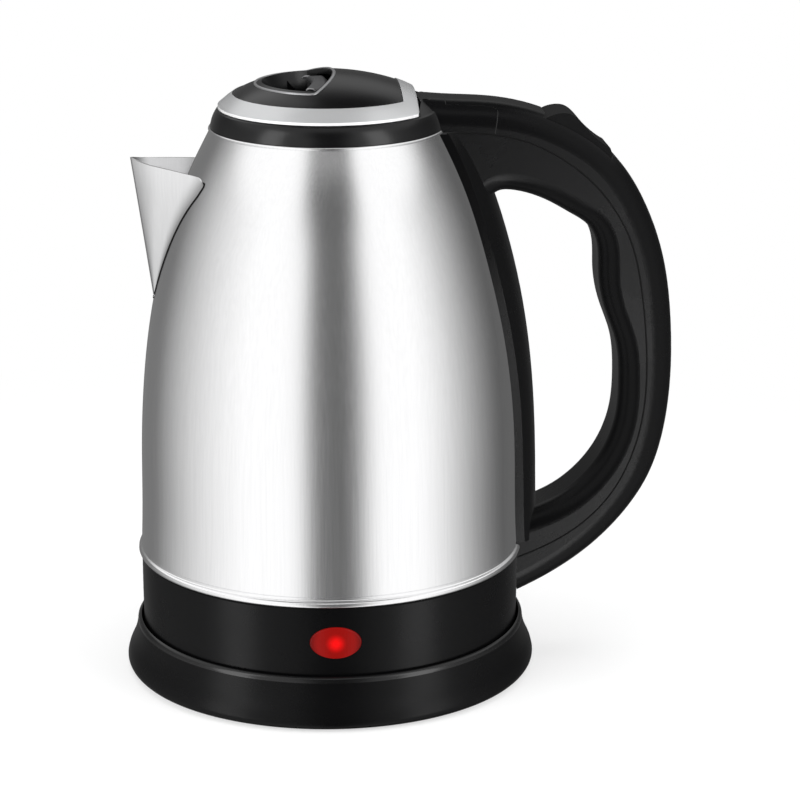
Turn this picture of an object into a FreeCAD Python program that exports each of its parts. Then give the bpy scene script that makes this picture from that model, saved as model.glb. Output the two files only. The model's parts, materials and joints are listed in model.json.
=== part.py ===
"""Cordless electric kettle on a round power base, every piece in its place.

Millimetres, +Z up. The kettle's axis is Z, the handle points along +X and the spout along -X.
The power base stands on z = 0.
"""
import FreeCAD
import Part
import os
from math import cos, radians, sin

V = FreeCAD.Vector
ORIGIN = V(0, 0, 0)
UP = V(0, 0, 1)
ALONG_Y = V(0, 1, 0)

# Power base
BASE_R = 80.0
BASE_LIP_R = 75.4
BASE_LIP_Z = 21.0
RECESS_R = 74.4
RECESS_FLOOR_Z = 12.5
PLATE_Z = 1.4
PLATE_T = 2.0
FOOT_RING_R = 67.0
BASE_SCREW_R = 50.0
TOWER_R = 16.0
TOWER_TOP_Z = 25.0

# Kettle underside
SKIRT_R = 73.5
SKIRT_BOTTOM_Z = 12.8
SKIRT_TOP_Z = 46.6
SKIRT_FLOOR_Z = 15.8
COUPLER_R = 20.0
COUPLER_TOP_Z = 30.0
HEATER_Z = 46.0
STUD_RING_R = 60.0
LAMP_Z = 33.2
LAMP_TURN = -2.0

# Steel body: outside radius at each height above the rolled bead
BODY_WALL = 0.8
BEAD_R = 74.7
BODY_TOP_Z = 213.4
BODY_CURVE = [(73.5, 51.0), (73.0, 65.0), (72.6, 90.0), (71.2, 115.0), (68.1, 140.0),
              (62.75, 165.0), (54.9, 190.0), (44.0, 212.6)]

# Spout: height, keel position, nose radius and half angle of its V
SPOUT_SECTIONS = [(148.0, -66.6, 7.0, 50.0), (170.0, -69.6, 6.0, 45.0),
                  (190.0, -72.4, 5.2, 41.0), (206.0, -74.7, 4.6, 36.0)]
SPOUT_RIM = [(-84.0, 206.4), (-74.0, 202.2), (-70.5, 200.9), (-66.8, 200.1), (-59.3, 199.2), (-49.4, 198.1)]
SPOUT_WALL = 0.8
SPOUT_FLANGE = 1.2
MOUTH_Z = (157.0, 184.0)
SEAL_WIDTH = 0.6
SEAL_DEPTH = 0.4

# Lid: the crown's profile and its two D-shaped outlines
CROWN = [(9.0, 233.5), (18.5, 231.9), (26.0, 229.9), (31.5, 227.8), (36.0, 225.3), (41.0, 221.3)]
CROWN_TOP_Z = 234.0
TRIM_R = 41.0
TRIM_FLAT_X = 32.8
TRIM_BOTTOM_Z = 220.7
COLLAR_R = 44.0
COLLAR_TOP_Z = 220.4
COVER_R = 35.4
COVER_FLAT_X = 26.9
LID_SHELL = 2.2
NECK_R = 37.6
NECK_FLAT_X = 33.2
HINGE_X = 36.4
HINGE_Z = 221.3
NOSE_R = 3.2
KNUCKLE_R = 3.0
KNUCKLE_HALF = 8.0
PIN_R = 1.2
PIN_HALF = 10.5
LEVER_TOP_Z = 231.1
WELL_FRONT_X = -26.0
WELL_BACK_X = 2.0
WELL_BACK_R = 44.3
WELL_TIP_X = -6.0
WELL_TIP_Y = 25.4

# Handle: outside edge, finger hole and parting line, seen from the side
HANDLE_HALF = 14.5
HANDLE_OUTER = [(32.0, 224.9), (38.0, 224.4), (44.0, 223.9), (58.0, 223.1), (68.0, 221.9), (81.0, 218.5),
                (95.0, 211.9), (108.5, 201.6), (121.3, 182.2), (128.7, 161.0), (132.1, 137.0),
                (132.6, 114.0), (130.6, 94.2), (125.0, 74.8), (115.3, 59.2), (100.1, 44.0), (85.9, 34.4),
                (70.0, 26.5)]
HANDLE_INNER = [(60.4, 182.0), (61.6, 186.6), (64.6, 188.8), (69.2, 189.0), (75.0, 187.8), (84.0, 184.2),
                (92.0, 179.6), (99.2, 174.4), (102.3, 168.0), (103.2, 156.0), (105.9, 141.5), (110.3, 129.0),
                (111.9, 114.0), (110.8, 98.0), (105.2, 83.4), (96.4, 72.6), (88.0, 66.4), (79.4, 62.5),
                (64.0, 57.5)]
PARTING = [(34.0, 212.4), (60.2, 211.6), (73.5, 208.8), (88.5, 201.3), (100.0, 192.0), (108.8, 180.8),
           (114.6, 169.4), (119.0, 151.0), (121.6, 126.0), (121.2, 104.0), (117.6, 87.0), (107.5, 67.2),
           (91.0, 52.6), (75.2, 45.0), (56.0, 38.6)]
FLANGE = [(51.0, 17.2), (75.0, 18.4), (100.0, 19.0), (125.0, 21.2), (150.0, 23.2),
          (172.0, 22.8), (192.0, 20.8), (212.6, 16.8)]
FLANGE_RISE = 8.0
FLANGE_EDGE = 3.4
SHELL_GAP = 0.15
GROOVE_Y = 12.6
STRIP_HALF = 10.4

# Steam switch rocker
ROCKER_X = 92.0
ROCKER_Z = 205.4
ROCKER_R = 15.8
ROCKER_HALF = 10.2


def xz(x, z):
    """A point in the plane of symmetry."""
    return V(x, 0, z)


def points(pairs):
    """Points in the plane of symmetry."""
    return [xz(x, z) for x, z in pairs]


def curve(pairs, closed=False):
    """Smooth edge through points in the plane of symmetry."""
    line = Part.BSplineCurve()
    line.interpolate(points(pairs), PeriodicFlag=closed)
    return line.toShape()


def path(start, *legs):
    """Wire of lines, three-point arcs (pairs of points) and smooth curves (lists of points)."""
    edges = []
    here = start
    for leg in legs:
        if isinstance(leg, list):
            line = Part.BSplineCurve()
            line.interpolate([here] + leg)
            edges.append(line.toShape())
            here = leg[-1]
        elif isinstance(leg, tuple):
            edges.append(Part.Arc(here, leg[0], leg[1]).toShape())
            here = leg[1]
        else:
            edges.append(Part.makeLine(here, leg))
            here = leg
    return Part.Wire(edges)


def turned(start, *legs):
    """Solid of revolution about the kettle's axis, from a closed half profile."""
    return Part.Face(path(start, *legs, start)).revolve(ORIGIN, UP, 360)


def slab(wire, y0, y1):
    """Outline in the plane of symmetry given thickness from y0 to y1."""
    face = Part.Face(wire)
    face.translate(V(0, y0, 0))
    return face.extrude(V(0, y1 - y0, 0))


def disc(r, z0, z1, x=0.0, y=0.0):
    """Upright cylinder."""
    return Part.makeCylinder(r, z1 - z0, V(x, y, z0))


def tube(r_out, r_in, z0, z1, x=0.0, y=0.0):
    """Upright hollow cylinder."""
    return disc(r_out, z0, z1, x, y).cut(disc(r_in, z0 - 1, z1 + 1, x, y))


def cross_rod(r, x, z, y0, y1):
    """Cylinder lying along Y."""
    return Part.makeCylinder(r, y1 - y0, V(x, y0, z), ALONG_Y)


def block(x0, x1, y0, y1, z0, z1):
    """Rectangular block between two corners."""
    return Part.makeBox(x1 - x0, y1 - y0, z1 - z0, V(x0, y0, z0))


def around(shape, angles):
    """Copies of a shape turned about the kettle's axis."""
    copies = []
    for angle in angles:
        copy = shape.copy()
        copy.rotate(ORIGIN, UP, angle)
        copies.append(copy)
    return copies


def fused(first, *others):
    """One solid from touching shapes."""
    return first.fuse(list(others)).removeSplitter()


def raised(shape, dz):
    """Copy of a shape moved along Z."""
    copy = shape.copy()
    copy.translate(V(0, 0, dz))
    return copy


def save(name, shape):
    """Write one piece."""
    shape.exportStep("parts/" + name + ".step")


def screw(r, z0, z1, head_r, head_h, x, y):
    """Pan-head screw pointing up, its head below z0, with a cross slot."""
    head = disc(head_r, z0 - head_h, z0, x, y)
    shank = disc(r, z0, z1, x, y)
    slot_a = block(x - head_r * 0.6, x + head_r * 0.6, y - 0.3, y + 0.3, z0 - head_h, z0 - head_h + 0.5)
    slot_b = block(x - 0.3, x + 0.3, y - head_r * 0.6, y + head_r * 0.6, z0 - head_h, z0 - head_h + 0.5)
    return fused(head, shank).cut(slot_a).cut(slot_b)


def base_housing():
    """Flared cover of the power base, with the round recess the kettle stands in."""
    shell = turned(
        xz(76.4, 1.0), xz(78.6, 1.0), (xz(79.7, 2.4), xz(BASE_R, 4.4)),
        [xz(79.4, 6.8), xz(77.9, 10.2), xz(76.4, 14.6), xz(75.55, 18.6)], xz(BASE_LIP_R, 19.7),
        (xz(75.08, 20.62), xz(74.5, BASE_LIP_Z)), xz(RECESS_R, 20.9), xz(RECESS_R, 14.0),
        (xz(74.0, 12.95), xz(73.0, RECESS_FLOOR_Z)), xz(21.5, RECESS_FLOOR_Z), xz(21.5, 14.4),
        xz(19.5, 14.4), xz(19.5, RECESS_FLOOR_Z), xz(16.3, RECESS_FLOOR_Z), xz(16.3, 10.5), xz(73.0, 10.5),
        (xz(75.6, 8.2), xz(77.7, 4.2)))
    boss = tube(4.0, 1.55, PLATE_Z + PLATE_T, 10.6, BASE_SCREW_R)
    cord_arch = fused(block(-4.5, 4.5, 70, 90, 0, 5), cross_rod(4.5, 0, 5, 70, 90))
    return fused(shell, *around(boss, [45, 135, 225, 315])).cut(cord_arch)


def base_bottom_plate():
    """Flat underside of the power base, grooved for the foot ring."""
    plate = disc(75.9, PLATE_Z, PLATE_Z + PLATE_T)
    socket_rest = tube(18.0, 14.0, PLATE_Z + PLATE_T, 7.4)
    groove = tube(FOOT_RING_R + 0.1, FOOT_RING_R - 5.1, PLATE_Z, PLATE_Z + 1.0)
    hole = fused(disc(1.8, 0, 5, BASE_SCREW_R), disc(3.5, 0, PLATE_Z + 1.0, BASE_SCREW_R))
    recess = turned(xz(0, 1.0), xz(36, 1.0), xz(36, PLATE_Z + 0.6), xz(0, PLATE_Z + 0.6))
    drain = disc(2.2, 0, 5, 0, 28)
    return fused(plate, socket_rest).cut([groove, recess, drain] + around(hole, [45, 135, 225, 315]))


def base_foot_ring():
    """Soft non-slip ring the base stands on."""
    r0 = FOOT_RING_R - 5.0
    r1 = FOOT_RING_R
    return turned(xz(r0 + 0.6, 0), xz(r1 - 0.6, 0), xz(r1, 0.6), xz(r1, 2.4), xz(r0, 2.4), xz(r0, 0.6))


def base_screws():
    """Screws that hold the bottom plate."""
    one = screw(1.5, PLATE_Z + 1.0, 9.4, 3.2, 0.9, BASE_SCREW_R, 0)
    return Part.makeCompound(around(one, [45, 135, 225, 315]))


def base_socket():
    """Round connector tower in the middle of the base."""
    body = turned(
        xz(0, 7.5), xz(19, 7.5), xz(19, 10.4), xz(TOWER_R, 10.4), xz(TOWER_R, TOWER_TOP_Z - 1.2),
        xz(TOWER_R - 1.2, TOWER_TOP_Z), xz(0, TOWER_TOP_Z))
    ring_slot = tube(11.0, 8.0, 15.0, TOWER_TOP_Z + 1)
    pin_hole = disc(5.05, 12.0, TOWER_TOP_Z + 1)
    return body.cut([ring_slot, pin_hole])


def base_contacts():
    """Sprung contact sleeve and ring inside the tower."""
    return Part.makeCompound([tube(5.0, 3.6, 12.0, 22.0), tube(10.95, 10.4, 15.0, 22.0)])


def kettle_coupler():
    """Round connector under the kettle that drops over the tower."""
    return turned(
        xz(0, 26.0), xz(17.0, 26.0), xz(17.0, 17.2), xz(17.6, 16.5), xz(COUPLER_R, 16.5),
        xz(COUPLER_R, COUPLER_TOP_Z), xz(0, COUPLER_TOP_Z))


def coupler_contacts():
    """Centre pin and contact ring of the kettle's connector."""
    pin = turned(xz(0, 15.0), xz(2.2, 15.0), xz(3.0, 16.2), xz(3.0, 26.0), xz(0, 26.0))
    return Part.makeCompound([pin, tube(9.9, 8.6, 17.0, 26.0)])


def lamp_prism(a, b, y0, y1):
    """Oval bar pointing out of the front of the skirt."""
    edge = Part.Ellipse(xz(a, LAMP_Z), xz(0, LAMP_Z + b), xz(0, LAMP_Z)).toShape()
    bar = slab(Part.Wire([edge]), y0, y1)
    bar.rotate(ORIGIN, UP, LAMP_TURN)
    return bar


def lower_skirt():
    """Black cup round the kettle's underside."""
    cup = turned(
        xz(20.5, SKIRT_FLOOR_Z), xz(69.8, SKIRT_FLOOR_Z), xz(69.8, SKIRT_BOTTOM_Z), xz(72.3, SKIRT_BOTTOM_Z),
        (xz(73.0, 13.1), xz(73.3, 13.8)), xz(SKIRT_R, 30.0), xz(SKIRT_R, SKIRT_TOP_Z - 0.5),
        xz(SKIRT_R - 0.5, SKIRT_TOP_Z), xz(71.3, SKIRT_TOP_Z), xz(71.3, SKIRT_FLOOR_Z + 2.0),
        xz(20.5, SKIRT_FLOOR_Z + 2.0))
    holes = around(disc(1.8, 10, 20, STUD_RING_R), [0, 120, 240])
    return cup.cut(holes + [lamp_prism(9.7, 6.2, -80, -60)])


def indicator_lens():
    """Oval red lens, slightly domed."""
    bar = lamp_prism(9.6, 6.1, -80, -69.5)
    dome = Part.makeSphere(30.0, V(0, -44.7, LAMP_Z))
    dome.rotate(ORIGIN, UP, LAMP_TURN)
    lens = bar.common(dome)
    rim = [edge for edge in lens.Edges if edge.BoundBox.YMax < -70.5]
    return lens.makeFillet(0.6, rim)


def neon_lamp():
    """Small glow lamp behind the lens."""
    return Part.makeCylinder(2.4, 10, V(-5, -66.0, LAMP_Z), V(1, 0, 0))


def lamp_holder():
    """Bracket that carries the lamp, standing on the skirt's floor."""
    saddle = block(-7, 7, -68.5, -61, 28.0, 36.0).cut(
        Part.makeCylinder(2.45, 20, V(-10, -66.0, LAMP_Z), V(1, 0, 0)))
    mouth = block(-8, 8, -69, -66, LAMP_Z - 2.45, LAMP_Z + 2.45)
    return fused(saddle.cut(mouth), block(-4, 4, -64, -61, SKIRT_FLOOR_Z + 2.0, 28.0))


def skirt_screws():
    """Screws that hold the skirt to the heater plate's studs."""
    one = screw(1.5, SKIRT_FLOOR_Z, 24.0, 3.2, 1.6, STUD_RING_R, 0)
    return Part.makeCompound(around(one, [0, 120, 240]))


def plate_studs():
    """Steel studs under the heater plate."""
    one = disc(3.0, SKIRT_FLOOR_Z + 2.0, HEATER_Z - 1.0, STUD_RING_R).cut(disc(1.55, 15, 26, STUD_RING_R))
    return Part.makeCompound(around(one, [0, 120, 240]))


def heater_plate():
    """Flat steel floor of the water chamber."""
    return fused(disc(70.1, HEATER_Z - 1.0, HEATER_Z), tube(70.1, 69.3, 40.5, HEATER_Z - 1.0))


def heat_spreader():
    """Aluminium disc under the heater plate."""
    return disc(48.0, 41.8, HEATER_Z - 1.0)


def heating_element():
    """Sheathed element brazed under the spreader, with its two cold pins."""
    ring = Part.makeTorus(38.0, 3.3, V(0, 0, 38.5), UP, -180, 180, 300)
    ring.rotate(ORIGIN, UP, 30)
    pins = [disc(1.7, 30.0, 38.5, 38.0 * cos(radians(a)), 38.0 * sin(radians(a))) for a in (31, 329)]
    return fused(ring, *pins)


def control_block():
    """Thermal control between the coupler and the spreader."""
    foot = disc(23.0, 30.4, 33.5)
    body = block(-19, 19, -12, 12, 33.5, 39.0)
    legs = [disc(2.5, 33.5, 41.8, 17.5 * cos(radians(a)), 17.5 * sin(radians(a))) for a in (90, 210, 330)]
    return fused(foot, body, *legs)


def bimetal_discs():
    """Snap discs that sense the plate."""
    dish = Part.makeCone(8.0, 5.0, 0.5, V(0, 0, 39.0))
    left = dish.copy()
    left.translate(V(-9.5, 0, 0))
    right = dish.copy()
    right.translate(V(9.5, 0, 0))
    return Part.makeCompound([left, right])


def body_fill(grow):
    """The steel body's outside as a full solid, grown sideways."""
    rise = [xz(r + grow, z) for r, z in BODY_CURVE[1:]]
    first = xz(BODY_CURVE[0][0] + grow, BODY_CURVE[0][1])
    return turned(
        xz(0, 40.0), xz(71.0 + grow, 40.0), xz(71.0 + grow, 46.6), xz(73.2 + grow, 46.9),
        (xz(BEAD_R + grow, 48.1), xz(73.6 + grow, 49.3)), (xz(73.0 + grow, 49.8), first), rise,
        (xz(44.3 + grow, 213.1), xz(43.6 + grow, BODY_TOP_Z)), xz(0, BODY_TOP_Z))


def spout_loft(inset):
    """V-shaped beak through the wall, as a full solid."""
    wires = []
    for z, keel, nose, half in SPOUT_SECTIONS:
        a = radians(half)
        r = nose - inset
        centre = keel + nose
        tx = centre - r * sin(a)
        ty = r * cos(a)
        deep = -30.0
        wide = ty + (deep - tx) * sin(a) / cos(a)
        arc = Part.Arc(V(tx, -ty, z), V(centre - r, 0, z), V(tx, ty, z)).toShape()
        near = Part.makeLine(V(deep, -wide, z), V(tx, -ty, z))
        far = Part.makeLine(V(tx, ty, z), V(deep, wide, z))
        back = Part.makeLine(V(deep, wide, z), V(deep, -wide, z))
        wires.append(Part.Wire([near, arc, far, back]))
    return Part.makeLoft(wires, True, False)


def above_rim():
    """Everything over the spout's rim, which drops at its ends in a round corner."""
    rim = points(SPOUT_RIM)
    outline = path(rim[0], rim[1:], (xz(-48.0, 197.5), xz(-47.4, 196.2)), xz(-46.0, 185.0), xz(-25, 185.0),
                   xz(-25, 240), xz(-95, 240), rim[0])
    return slab(outline, -60, 60)


def body_shell():
    """Pressed steel wall with its rolled bead, open at the neck and into the spout."""
    rise = [xz(r - BODY_WALL, z) for r, z in BODY_CURVE[1:]]
    first = xz(BODY_CURVE[0][0] - BODY_WALL, BODY_CURVE[0][1])
    inside = turned(
        xz(0, 39.0), xz(70.2, 39.0), xz(70.2, 46.8), xz(72.6, 47.4), (xz(73.7, 48.1), xz(72.8, 49.0)),
        (xz(72.4, 49.8), first), rise, xz(40.6, 212.6), xz(40.6, 215.0), xz(0, 215.0))
    steam_hole = Part.makeCylinder(4.3, 30, V(40, 0, 199), V(1, 0, 0))
    mouth = spout_loft(3.0).common(block(-100, -30, -60, 60, *MOUTH_Z))
    return body_fill(0).cut(inside).cut([mouth, steam_hole, spout_seal()])


def spout_edge(outer, inner, rise, depth):
    """Strip that follows the spout round on the wall, between two widths."""
    skin = body_fill(rise).cut(body_fill(-depth)).common(block(-100, -20, -60, 60, 138, 205))
    strip = spout_loft(-outer).cut(spout_loft(-inner))
    return strip.common(skin).cut(above_rim())


def spout_seal():
    """Thin dark line of sealant let into the wall round the spout."""
    return spout_edge(SPOUT_FLANGE + SEAL_WIDTH, SPOUT_FLANGE, 0.1, SEAL_DEPTH)


def spout():
    """Folded steel beak with a narrow flange that lies on the wall."""
    beak = spout_loft(0).cut([above_rim(), body_fill(0)]).cut(spout_loft(SPOUT_WALL))
    return fused(beak, spout_edge(SPOUT_FLANGE, 0.0, 0.6, 0.0))


def d_prism(r, flat_x, corner, z0, z1):
    """Upright prism with a round front and a flat back edge, its corners rounded."""
    h = (r * r - flat_x * flat_x) ** 0.5
    arc = Part.Arc(V(flat_x, -h, z0), V(-r, 0, z0), V(flat_x, h, z0)).toShape()
    flat = Part.makeLine(V(flat_x, h, z0), V(flat_x, -h, z0))
    solid = Part.Face(Part.Wire([arc, flat])).extrude(V(0, 0, z1 - z0))
    uprights = []
    for edge in solid.Edges:
        ends = edge.Vertexes
        if len(ends) == 2 and abs(ends[0].Point.z - ends[1].Point.z) > 1 and abs(ends[0].Point.y) > 1:
            uprights.append(edge)
    return solid.makeFillet(corner, uprights)


def top_collar():
    """Black ring that closes the body's neck, with the hinge ears at its back."""
    ring = fused(collar_form(0.0), disc(40.3, 206.0, 214.0)).cut(disc(34.0, 200, 240))
    back = block(30, 41.2, -17, 17, 206.0, COLLAR_TOP_Z).common(disc(40.3, 200, 230))
    shoulder = raised(crown(), -1.0).common(block(NECK_FLAT_X, 46, -30, 30, COLLAR_TOP_Z - 1.0, 240))
    solid = fused(ring, back, shoulder.cut([handle_plate(), over_nose()]))
    well = d_prism(NECK_R, NECK_FLAT_X - 0.1, 2.0, 200, 219.6)
    mouth = d_prism(NECK_R + 0.6, NECK_FLAT_X - 0.1, 2.0, 219.0, 240)
    bolt_slot = block(-40.0, -36.0, -5.4, 5.4, 211.0, 240)
    return solid.cut([well, mouth, hinge_room(), hinge_bore(), bolt_slot])


def collar_form(gap):
    """The collar's outside as a full solid, with a gap round it."""
    r = COLLAR_R + gap
    top = COLLAR_TOP_Z + gap
    return turned(xz(0, 213.5), xz(r, 213.5), (xz(r - 0.7, top - 3.8), xz(r - 2.4, top - 0.5)),
                  xz(r - 3.1, top), xz(0, top))


def hinge_room():
    """Space the lid's hinge arm and knuckle turn in."""
    half = KNUCKLE_HALF + 0.4
    ahead = block(30, HINGE_X, -half, half, HINGE_Z - KNUCKLE_R - 0.3, 240)
    return fused(ahead, cross_rod(KNUCKLE_R + 0.3, HINGE_X, HINGE_Z, -half, half))


def over_nose():
    """Space that the lid's straight edge sweeps over the round nose of the hinge."""
    low = HINGE_X - NOSE_R
    mid = NOSE_R * cos(radians(45))
    return slab(path(xz(20, HINGE_Z), xz(low, HINGE_Z),
                     (xz(HINGE_X - mid, HINGE_Z + mid), xz(HINGE_X, HINGE_Z + NOSE_R)),
                     xz(HINGE_X, 240), xz(20, 240), xz(20, HINGE_Z)), -40, 40)


def hinge_bore():
    """Hole for the hinge pin, half in the collar and half in the hinge cover."""
    return cross_rod(PIN_R + 0.02, HINGE_X, HINGE_Z, -PIN_HALF - 0.2, PIN_HALF + 0.2)


def lid_hinge_pin():
    """Steel pin the lid turns on, clamped between the collar and the hinge cover."""
    return cross_rod(PIN_R, HINGE_X, HINGE_Z, -PIN_HALF, PIN_HALF)


def crown():
    """The lid's outside as a full solid."""
    return turned(xz(0, 205.0), xz(TRIM_R + 3, 205.0), xz(TRIM_R + 3, 218.0), xz(TRIM_R, CROWN[-1][1]),
                  points(CROWN[-2::-1]) + [xz(0, CROWN_TOP_Z)])


def eye(grow, front_shrink, z):
    """Outline of the finger well at one height: two arcs that meet in points at its sides."""
    tip = WELL_TIP_Y + grow - front_shrink
    front_x = WELL_FRONT_X - grow + front_shrink
    front = Part.Arc(V(WELL_TIP_X, -tip, z), V(front_x, 0, z), V(WELL_TIP_X, tip, z)).toShape()
    back = Part.Arc(V(WELL_TIP_X, tip, z), V(WELL_BACK_X + grow, 0, z), V(WELL_TIP_X, -tip, z)).toShape()
    return Part.Wire([front, back])


def eye_prism(grow):
    """Upright prism over the finger well."""
    return Part.Face(eye(grow, 0, 205)).extrude(V(0, 0, 40))


def well_bowl(grow):
    """Hollow of the finger well, sloping in towards its floor."""
    return Part.makeLoft([eye(grow, 5.5, 222.5 - grow), eye(grow, -0.6, CROWN_TOP_Z + 0.9)], True, True)


def well_rim():
    """Raised bead round the finger well."""
    outside = crown()
    return raised(outside, 0.5).cut(outside).common(eye_prism(1.4).cut(eye_prism(0.2)))


def lid_cover():
    """Black crown of the lid with the finger well."""
    outside = crown()
    shell = outside.cut(raised(outside, -LID_SHELL)).common(d_prism(COVER_R, COVER_FLAT_X, 1.0, 210, 240))
    bowl = well_bowl(1.6).common(outside)
    posts = [disc(3.2, 211.0, 230.0, x, y).common(raised(outside, -1.0)) for x, y in ((18, 20), (18, -20))]
    solid = fused(shell, bowl, *posts).cut(well_bowl(0))
    lever_way = block(-14, 8.0, -18.4, 18.4, 223.0, 240).common(eye_prism(6.0))
    lever_way = lever_way.common(raised(outside, -LID_SHELL))
    stem_way = block(-9, 6.2, -6.4, 6.4, 215, 226)
    pilots = [disc(1.3, 210, 222, 18, 20), disc(1.3, 210, 222, 18, -20)]
    return solid.cut([lever_way, stem_way] + pilots)


def lid_trim():
    """Silver band round the lid's D-shaped edge."""
    outside = crown()
    band = raised(outside, 0.4).cut(raised(outside, -1.6))
    outer = d_prism(TRIM_R, TRIM_FLAT_X, 3.0, TRIM_BOTTOM_Z, 240)
    inner = d_prism(COVER_R + 0.1, COVER_FLAT_X + 0.1, 1.0, 200, 250)
    return band.common(outer).cut(inner)


def lid_liner():
    """Underside of the lid: a tapering plug with the hinge knuckle at its back."""
    plug = Part.makeCone(34.6, 37.1, 12.0, V(0, 0, 209.0))
    plug = plug.cut(block(TRIM_FLAT_X - 0.4, 60, -60, 60, 200, 240))
    hollow = Part.makeCone(32.8, 35.3, 12.0, V(0, 0, 210.8))
    hollow = hollow.cut(block(TRIM_FLAT_X - 2.2, 60, -60, 60, 200, 240))
    arm = block(30.8, HINGE_X, -KNUCKLE_HALF, KNUCKLE_HALF, HINGE_Z - KNUCKLE_R + 0.3, HINGE_Z - 0.1)
    knuckle = cross_rod(KNUCKLE_R, HINGE_X, HINGE_Z, -KNUCKLE_HALF, KNUCKLE_HALF)
    bore = cross_rod(PIN_R + 0.06, HINGE_X, HINGE_Z, -20, 20)
    bolt_way = block(-45, -28, -5.3, 5.3, 214.2, 219.0)
    holes = [disc(1.8, 205, 213, 18, 20), disc(1.8, 205, 213, 18, -20)]
    cup = plug.cut(hollow)
    return fused(cup, arm, knuckle).cut([bore, bolt_way] + holes)


def lid_screws():
    """Screws through the liner into the lid's posts."""
    pair = [screw(1.25, 209.0, 219.0, 3.0, 1.2, 18, 20), screw(1.25, 209.0, 219.0, 3.0, 1.2, 18, -20)]
    return Part.makeCompound(pair)


def latch_lever():
    """Finger lever along the back of the well, curled over at the top."""
    pivot = WELL_BACK_X - WELL_BACK_R
    top = LEVER_TOP_Z
    profile = path(
        xz(41.2, 223.4), xz(43.4, 223.4), xz(43.4, top - 3.0), (xz(42.6, top - 0.8), xz(40.2, top - 0.1)),
        (xz(37.6, top), xz(36.6, top - 2.0)), (xz(38.0, top - 1.3), xz(39.4, top - 1.6)),
        (xz(40.9, top - 2.7), xz(41.2, top - 5.0)), xz(41.2, 223.4))
    sweep = Part.Face(profile).revolve(ORIGIN, UP, 44)
    sweep.rotate(ORIGIN, UP, -22)
    sweep.translate(V(pivot, 0, 0))
    plate = sweep.common(raised(crown(), -LID_SHELL - 0.6))
    stem = block(-2.6, 1.4, -6.0, 6.0, 216.8, 223.6)
    return fused(plate, stem)


def latch_bolt():
    """Flat bolt from the lever to the front edge of the lid."""
    bar = block(-38.8, 1.4, -5.0, 5.0, 214.8, 216.8)
    nose = path(xz(-38.8, 214.8), xz(-35.4, 214.8), xz(-35.4, 218.4), xz(-36.2, 218.4), xz(-38.8, 216.2),
                xz(-38.8, 214.8))
    return fused(bar, slab(nose, -5.0, 5.0))


def latch_spring():
    """Bent leaf that pushes the bolt forward again."""
    leaf = path(xz(1.4, 215.0), xz(5.2, 215.4), xz(9.0, 218.8), xz(12.6, 215.4), xz(15.8, 210.8),
                xz(16.5, 210.8), xz(12.9, 216.0), xz(9.0, 219.6), xz(5.0, 216.0), xz(1.4, 215.6),
                xz(1.4, 215.0))
    return slab(leaf, -4.0, 4.0)


def handle_plate():
    """The handle's arch as one rounded solid, before it is split."""
    outer = points(HANDLE_OUTER)
    inner = points(HANDLE_INNER)
    outline = path(outer[0], outer[1:], xz(60, 26.5), inner[-1], inner[-2::-1], xz(32, 205.0), outer[0])
    solid = slab(outline, -HANDLE_HALF, HANDLE_HALF)
    rims = [edge for edge in solid.Edges if edge.Length > 250]
    solid = solid.makeFillet(9.0, rims)
    lips = [edge for edge in solid.Edges if 150 < edge.Length < 250 and 105 < edge.BoundBox.XMax < 114]
    return solid.makeFillet(7.5, lips)


def body_radius(z):
    """Outside radius of the steel body between the heights its curve states."""
    for (r0, z0), (r1, z1) in zip(BODY_CURVE, BODY_CURVE[1:]):
        if z <= z1:
            return r0 + (r1 - r0) * (z - z0) / (z1 - z0)
    return BODY_CURVE[-1][0]


def handle_flange():
    """Broad foot of the handle that lies along the body."""
    wires = []
    for z, half in FLANGE:
        r = body_radius(z)
        edge_x = ((r + FLANGE_EDGE) ** 2 - half * half) ** 0.5
        deep = edge_x - 8.0
        face = Part.Arc(V(edge_x, -half, z), V(r + FLANGE_RISE, 0, z), V(edge_x, half, z)).toShape()
        back = Part.makeLine(V(deep, half, z), V(deep, -half, z))
        side_a = Part.makeLine(V(edge_x, half, z), V(deep, half, z))
        side_b = Part.makeLine(V(deep, -half, z), V(edge_x, -half, z))
        wires.append(Part.Wire([face, side_a, back, side_b]))
    return Part.makeLoft(wires, True, False)


def parting_slit():
    """Fine groove along the joint of the two halves, on both sides."""
    upper = offset_line(PARTING, -SHELL_GAP)
    lower = offset_line(PARTING, SHELL_GAP)
    outline = path(upper[0], upper[1:], lower[-1], lower[-2::-1], upper[0])
    return fused(slab(outline, -40, -GROOVE_Y), slab(outline, GROOVE_Y, 40))


def outer_side():
    """Everything on the outer side of the handle's joint."""
    line = points(PARTING)
    return slab(path(line[0], line[1:], xz(56, 0), xz(160, 0), xz(160, 250), xz(34, 250), line[0]), -40, 40)


def handle_hollow():
    """Room inside the handle for the steam tube and switch."""
    wall = 3.0
    outer = offset_line(HANDLE_OUTER[4:-1], wall)
    inner = offset_line(HANDLE_INNER[4:-2], -wall)
    outline = path(outer[0], outer[1:], inner[-1], inner[-2::-1], outer[0])
    return slab(outline, -10.0, 10.0)


def offset_line(pairs, distance):
    """Points of a line moved to its right-hand side."""
    moved = []
    for i, (x, z) in enumerate(pairs):
        x0, z0 = pairs[max(i - 1, 0)]
        x1, z1 = pairs[min(i + 1, len(pairs) - 1)]
        length = ((x1 - x0) ** 2 + (z1 - z0) ** 2) ** 0.5
        moved.append(xz(x + (z1 - z0) / length * distance, z - (x1 - x0) / length * distance))
    return moved


def rocker_room():
    """Round pocket the rocker swings in."""
    return cross_rod(ROCKER_R + 0.4, ROCKER_X, ROCKER_Z, -ROCKER_HALF - 0.4, ROCKER_HALF + 0.4)


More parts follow.
